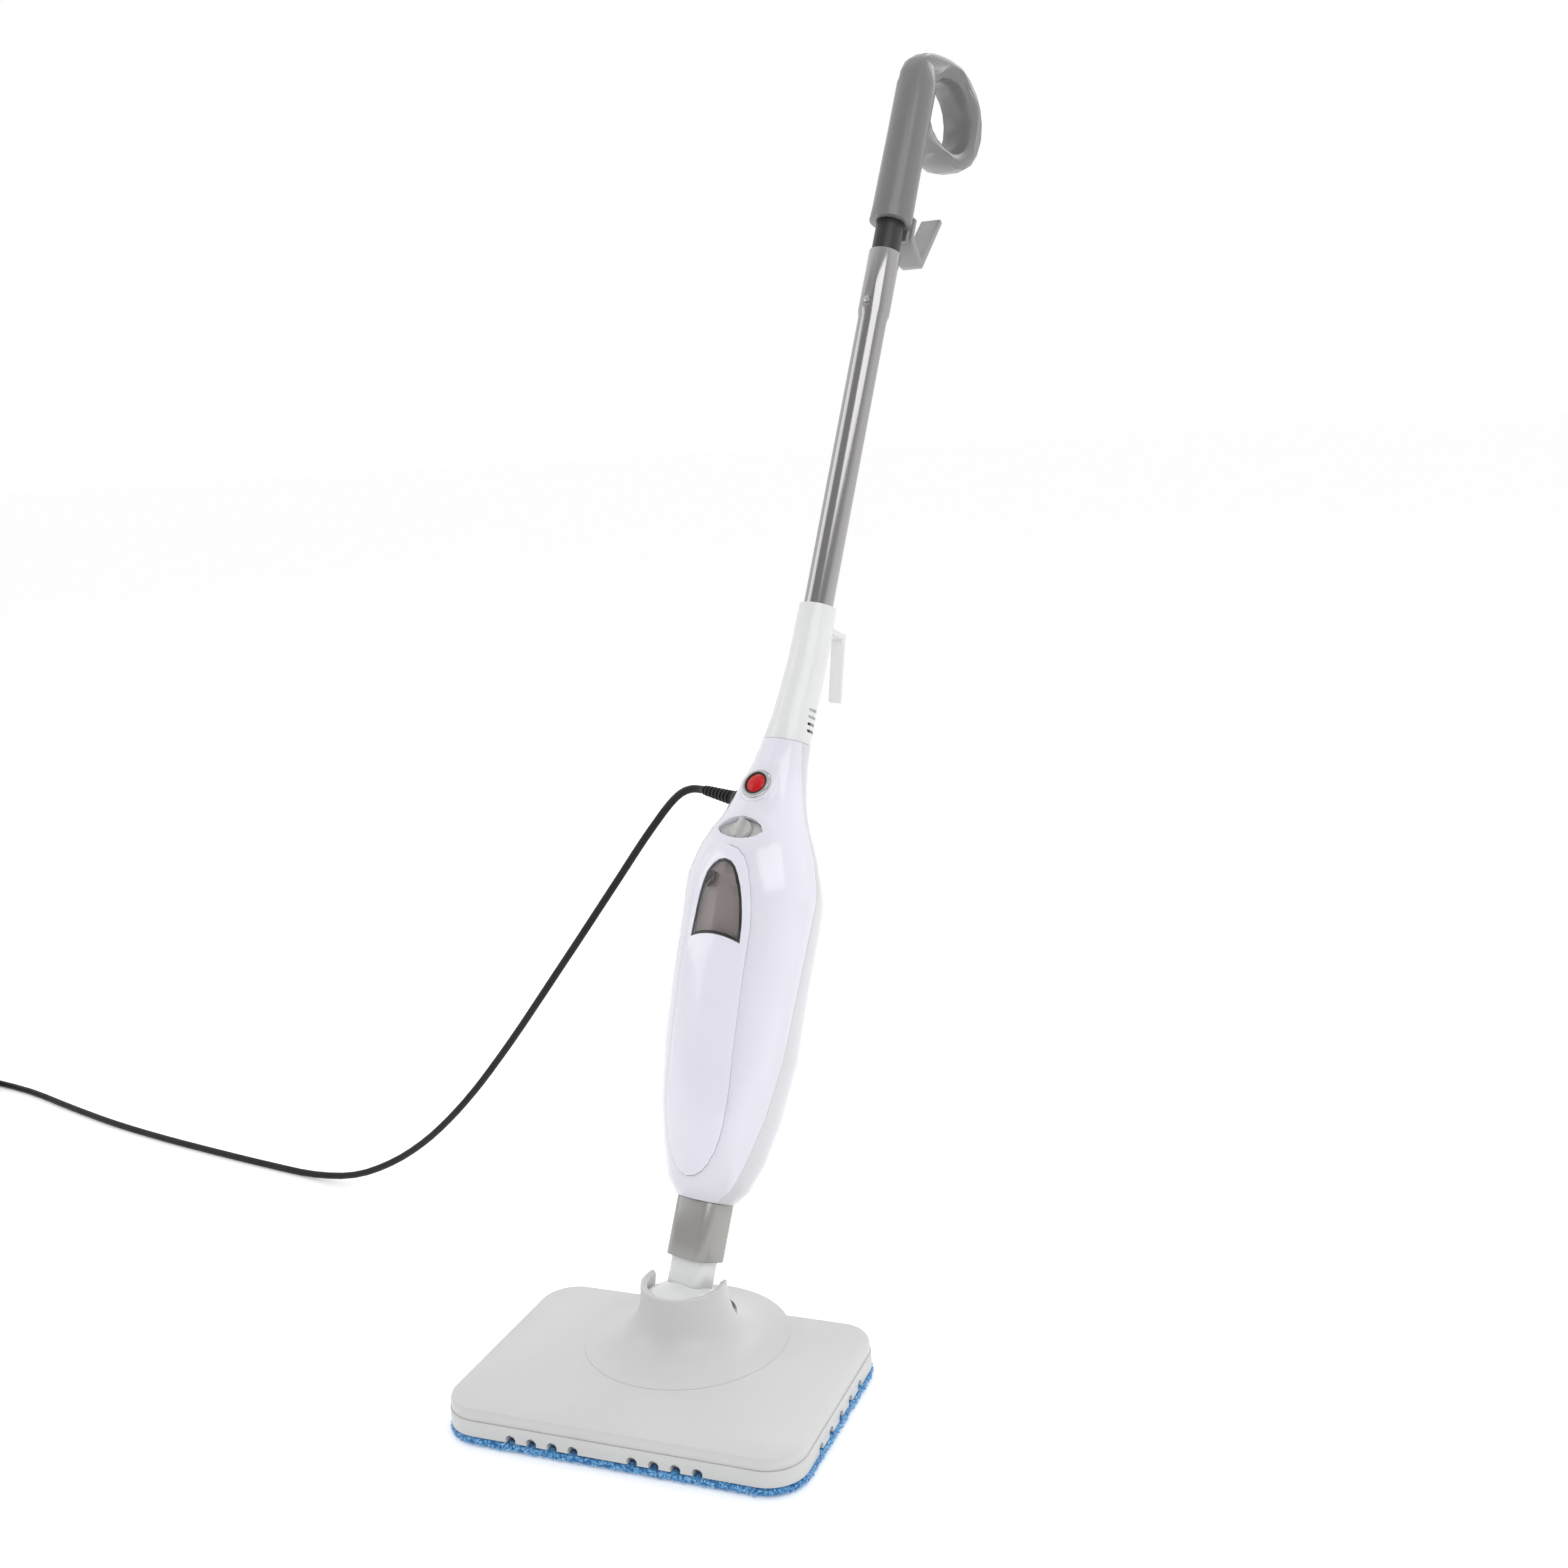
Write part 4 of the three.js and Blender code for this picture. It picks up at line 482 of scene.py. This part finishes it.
def cut_by(piece, cutter, operation="DIFFERENCE"):
    """Cuts a piece by another, which goes away."""
    bpy.ops.object.select_all(action="DESELECT")
    piece.select_set(True)
    bpy.context.view_layer.objects.active = piece
    cutting = piece.modifiers.new("cut", "BOOLEAN")
    cutting.operation = operation
    cutting.solver = "EXACT"
    cutting.object = cutter
    bpy.ops.object.modifier_apply(modifier=cutting.name)
    bpy.data.objects.remove(cutter)


# The collar: a flared ring moulded with the cover, which rises round the swivel and is low at the
# back, so that the mast can lie down. Its wall is turned from the foot inside to the foot outside.
COVER_TOP = 0.0316
COLLAR_WALL = 0.003
rim_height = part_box("head_cover")[1][2]
collar_y = pivot.y + 0.014
collar_outside, collar_inside = [], []
for step in range(17):
    t = step / 16
    radius = 0.0359 + 0.046 * t**2.2 + 0.004 * t
    height = COVER_TOP + 0.0004 + (rim_height - COVER_TOP) * (1 - t) ** 2.1
    collar_outside.append((radius, height))
    if step < 12:
        collar_inside.append((radius - COLLAR_WALL, height - COLLAR_WALL * min(1, 1.4 * t)))
crown = [(0.0336, rim_height + 0.0009), (0.0349, rim_height + 0.0009)]
foot = [(0.0861, COVER_TOP - 0.001), (collar_inside[-1][0] + 0.001, COVER_TOP - 0.001)]
rings = collar_inside[::-1] + crown + collar_outside + foot
collar = lathe("collar_front", rings, Matrix.Translation((0, collar_y, 0)), 80)
for face in collar.data.polygons:
    face.select = len(face.vertices) > 4
for edge in collar.data.edges:
    edge.select = False
bpy.ops.object.mode_set(mode="EDIT")
bpy.ops.mesh.select_mode(type="FACE")
bpy.ops.object.mode_set(mode="OBJECT")
for face in collar.data.polygons:
    face.select = len(face.vertices) > 4
bpy.ops.object.mode_set(mode="EDIT")
bpy.ops.mesh.delete(type="ONLY_FACE")
bpy.ops.mesh.select_mode(type="EDGE")
bpy.ops.mesh.select_non_manifold()
bpy.ops.mesh.bridge_edge_loops()
bpy.ops.mesh.select_all(action="SELECT")
bpy.ops.mesh.normals_make_consistent(inside=False)
bpy.ops.object.mode_set(mode="OBJECT")
bpy.ops.object.select_all(action="DESELECT")
bpy.ops.mesh.primitive_cube_add(size=1, location=(0, collar_y + 0.010 + 0.06, 0.050 + 0.03))
behind = bpy.context.object
behind.scale = (0.2, 0.12, 0.06)
bpy.ops.object.transform_apply(location=True, rotation=True, scale=True)
cut_by(collar, behind)
bpy.ops.object.shade_smooth_by_angle(angle=math.radians(50))
done(collar, "mop_head", head_white, "head_white")
grey = finish_of("grey_plastic", (0.37, 0.365, 0.355), 0.33, 0.0008, 0.00004)
finished("steam_spreader", "mop_head", grey, "hose_grey")
for place in ("front_left", "front_right", "rear_left", "rear_right"):
    finished("head_screw_" + place, "mop_head", steel, "steel", edge=0.0002)


# ---- Swivel and coupling ----
# The post turns in the head, and a fork tilts on it about a steel pin, under a white dome that
# closes the collar. The neck carries the mast, and a warm grey sleeve couples it to the body.
finished("swivel_post", "swivel", grey, "grey_plastic")
finished("tilt_pin", "main_body", steel, "steel", edge=0.0002)
neck_white = finish_of("neck_plastic", (0.74, 0.745, 0.75), 0.22, 0.001, 0.00003, coat=0.3, vary=0.02)


def round_bar(radius, length, place):
    """A plain round bar to cut with, centred on a place given as a matrix."""
    bpy.ops.object.select_all(action="DESELECT")
    bpy.ops.mesh.primitive_cylinder_add(vertices=80, radius=radius, depth=length)
    made = bpy.context.object
    made.data.transform(place)
    return made


fork = finished("swivel_dome", "main_body", neck_white, "head_white", smooth=40)
cut_by(fork, round_bar(0.0152, 0.2, mast_frame), "INTERSECT")
cup_rings = []
for radius, angles in ((0.0459, range(1, 64, 3)), (0.0437, range(61, 0, -3))):
    cup_rings += [(radius * math.sin(math.radians(a)), radius * math.cos(math.radians(a))) for a in angles]
cup = lathe("swivel_cup", cup_rings, Matrix.Translation(pivot), 96)
cut_by(cup, round_bar(0.0327, 0.2, Matrix.Translation((0, collar_y, pivot.z))), "INTERSECT")
bpy.ops.object.shade_smooth_by_angle(angle=math.radians(40))
done(cup, "mop_head", neck_white, "head_white")
finished("neck", "main_body", neck_white, "head_white", edge=0.0008, smooth=45)
sleeve_grey = finish_of("sleeve_grey", (0.36, 0.355, 0.34), 0.24, 0.0016, 0.00005, metal=0.35, coat=0.2, vary=0.12, streaks=30)
finished("coupling_sleeve", "main_body", sleeve_grey, "grey_plastic", edge=0.0007, smooth=45)


# ---- Body shells ----
# Two glossy white shells with a hint of lavender, joined along the sides and screwed together
# from behind. The long raised panel on the front ends in an arch over the window.
body_white = finish_of("body_gloss", (0.78, 0.77, 0.86), 0.17, 0.004, 0.00002, coat=0.6, vary=0.015, scuffs=0.05)
finished("front_shell", "main_body", body_white, "body_white", edge=0.0006, smooth=32)
# The rear shell's colour is darker and greyer than the front's. Partly this is a greyer plastic, and partly it is
# painted shade standing in for the darker band along the body's right side.
rear_grey_and_painted_shade = finish_of("rear_gloss_and_painted_shade", (0.66, 0.66, 0.69), 0.2, 0.004, 0.00002, coat=0.5, vary=0.02, scuffs=0.05)
finished("rear_shell", "main_body", rear_grey_and_painted_shade, "body_white", edge=0.0006, smooth=32)
finished("front_panel", "main_body", body_white, "body_white", edge=0.0006, smooth=32)
for place in ("lower_left", "lower_right", "middle_left", "middle_right"):
    finished("shell_screw_" + place, "main_body", steel, "steel", edge=0.0002)


# ---- Window and tank ----
# A smoked window in a black rim shows the water level. Behind it stands the tank, blow-moulded
# in clear grey plastic.
def clear_plastic(name, colour, roughness, passing):
    made = finish_of(name, colour, roughness, 0.006, 0.00002, vary=0.05)
    made.node_tree.nodes["Principled BSDF"].inputs["Transmission Weight"].default_value = passing
    made.node_tree.nodes["Principled BSDF"].inputs["IOR"].default_value = 1.49
    return made


smoke = clear_plastic("smoked_window", (0.74, 0.68, 0.68), 0.06, 0.95)
tank_clear = clear_plastic("tank_plastic", (0.74, 0.72, 0.72), 0.22, 0.0)
black = finish_of("black_plastic", (0.008, 0.008, 0.009), 0.38, 0.0008, 0.00004)


window = finished("window_lens", "main_body", smoke, "smoke", edge=0)
window.data.materials.append(black)
bpy.ops.object.select_all(action="DESELECT")
window.select_set(True)
bpy.context.view_layer.objects.active = window
bpy.ops.object.mode_set(mode="EDIT")
bpy.ops.mesh.select_mode(type="FACE")
bpy.ops.mesh.select_all(action="DESELECT")
bpy.ops.object.mode_set(mode="OBJECT")
for face in window.data.polygons:
    face.select = face.normal.dot(-mast_y) > 0.3
bpy.ops.object.mode_set(mode="EDIT")
bpy.ops.mesh.inset(thickness=0.0024, use_boundary=True)
bpy.ops.object.mode_set(mode="OBJECT")
for face in window.data.polygons:
    if not face.select and face.normal.dot(mast_y) < 0.3:
        face.material_index = 1
finished("water_tank", "main_body", tank_clear, "smoke", edge=0.0006)


# ---- Controls ----
# The steam dial is a grey knob with a fin in an almond dish. The power button is a red lens in a
# black ring and a chromed bezel, over a sprung switch.
dial_grey = finish_of("dial_grey", (0.50, 0.495, 0.485), 0.2, 0.0012, 0.00003, coat=0.4)
for node in ("dial_bezel", "steam_dial"):
    finished(node, "steam_dial" if node == "steam_dial" else "main_body", dial_grey, "grey_plastic", edge=0.0006)
brass = finish_of("valve_brass", (0.62, 0.44, 0.19), 0.3, 0.0012, 0.00004, metal=1)
finished("steam_valve", "main_body", brass, "brass")
chrome = finish_of("chrome", (0.5, 0.5, 0.5), 0.09, 0.003, 0.00001, metal=1, scuffs=0.05)
finished("button_bezel", "main_body", chrome, "chrome", edge=0.0004)
finished("switch_housing", "main_body", black, "black_plastic")
red = finish_of("red_lens", (0.60, 0.006, 0.012), 0.2, 0.002, 0.00003, coat=0.15, vary=0.35)
red.node_tree.nodes["Principled BSDF"].inputs["Specular IOR Level"].default_value = 0.2
finished("power_button", "power_button", red, "red_lens", edge=0.0009, smooth=50)
finished("button_spring", "main_body", steel, "steel", edge=0)


# ---- Inside the body ----
# A cast aluminium boiler with its thermostat, a small pump, hoses between them and the tank, and
# a brass pipe that takes the steam down to the head.
cast = finish_of("cast_aluminium", (0.50, 0.50, 0.51), 0.42, 0.0015, 0.0002, metal=1, vary=0.15, scuffs=0.2)
hose = finish_of("hose_silicone", (0.50, 0.50, 0.49), 0.5, 0.001, 0.00004)
for node, look, slot in (
    ("boiler", cast, "boiler_cast"),
    ("thermostat", black, "black_plastic"),
    ("pump", black, "pump_black"),
    ("boiler_hose", hose, "hose_grey"),
    ("feed_hose", hose, "hose_grey"),
    ("steam_pipe", brass, "brass"),
):
    finished(node, "main_body", look, slot)
finished("filler_cap", "filler_cap", grey, "grey_plastic", edge=0.0006)
finished("cap_hinge", "main_body", grey, "grey_plastic")


# ---- Handle ----
# The white socket carries on the body's neck and holds the lower cord hook, vent slots on its
# right and shallow finger grooves on its left. The chromed tube ends in a wider sleeve, in which
# the black insert of the grip locks with a snap button.
socket = finished("handle_socket", "main_body", neck_white, "body_white", edge=0.0005, smooth=40)
joint_height = max((mast_frame.inverted() @ v.co).z for v in frame["nodes"]["front_shell"].data.vertices)


def slot_cutter(centre, size, turned_by=(0, 0, 0)):
    """A small block with rounded ends, in the mast's frame."""
    bpy.ops.object.select_all(action="DESELECT")
    bpy.ops.mesh.primitive_cube_add(size=1)
    made = bpy.context.object
    bpy.ops.object.mode_set(mode="EDIT")
    bpy.ops.transform.resize(value=size)
    bpy.ops.mesh.bevel(offset=min(size) * 0.4, segments=2, affect="EDGES")
    bpy.ops.object.mode_set(mode="OBJECT")
    made.data.transform(mast_frame @ Matrix.Translation(centre) @ Euler(turned_by).to_matrix().to_4x4())
    return made


for k in range(4):
    cut_by(socket, slot_cutter((0.0195, -0.004, joint_height + 0.012 + 0.0062 * k), (0.009, 0.012, 0.0026)))
for k in range(8):
    tilt = math.radians(24)
    cut_by(socket, slot_cutter((-0.008, -0.0275, joint_height + 0.030 + 0.0095 * k), (0.013, 0.010, 0.0012), (0, tilt, 0)))
finished("lower_cord_hook", "main_body", neck_white, "body_white", edge=0.0008, smooth=45)
tube_steel = finish_of("tube_chrome", (0.42, 0.41, 0.41), 0.16, 0.0011, 0.00002, metal=1, vary=0.12, scuffs=0.08, streaks=60)
finished("handle_tube", "main_body", tube_steel, "chrome", edge=0.0003, smooth=40)
finished("snap_button", "snap_button", steel, "steel", edge=0.0003)
finished("grip_insert", "main_body", black, "black_plastic", edge=0.0004)
grip_grey = finish_of("grip_grey", (0.17, 0.17, 0.17), 0.3, 0.0009, 0.00005, coat=0.25)
joints_z = min((mast_frame.inverted() @ v.co).z for v in frame["nodes"]["grip"].data.vertices)
grip = finished("grip", "main_body", grip_grey, "grip_grey", edge=0.0012, smooth=55)
# The loop is broader than the shaft: its sides swell out towards the back, to fill the hand.
for vertex in grip.data.vertices:
    at = mast_frame.inverted() @ vertex.co
    swell = min(max((at.y - 0.014) / 0.035, 0), 1) if at.z > joints_z + 0.06 else 0
    at.x *= 1 + 0.5 * swell * swell * (3 - 2 * swell)
    vertex.co = mast_frame @ at
hook_grey = finish_of("hook_grey", (0.27, 0.27, 0.27), 0.3, 0.0009, 0.00005, coat=0.25)
finished("upper_cord_hook", "upper_cord_hook", hook_grey, "grip_grey", edge=0.0007, smooth=45)
finished("hook_screw", "main_body", steel, "steel", edge=0.0002)

bpy.context.view_layer.update()
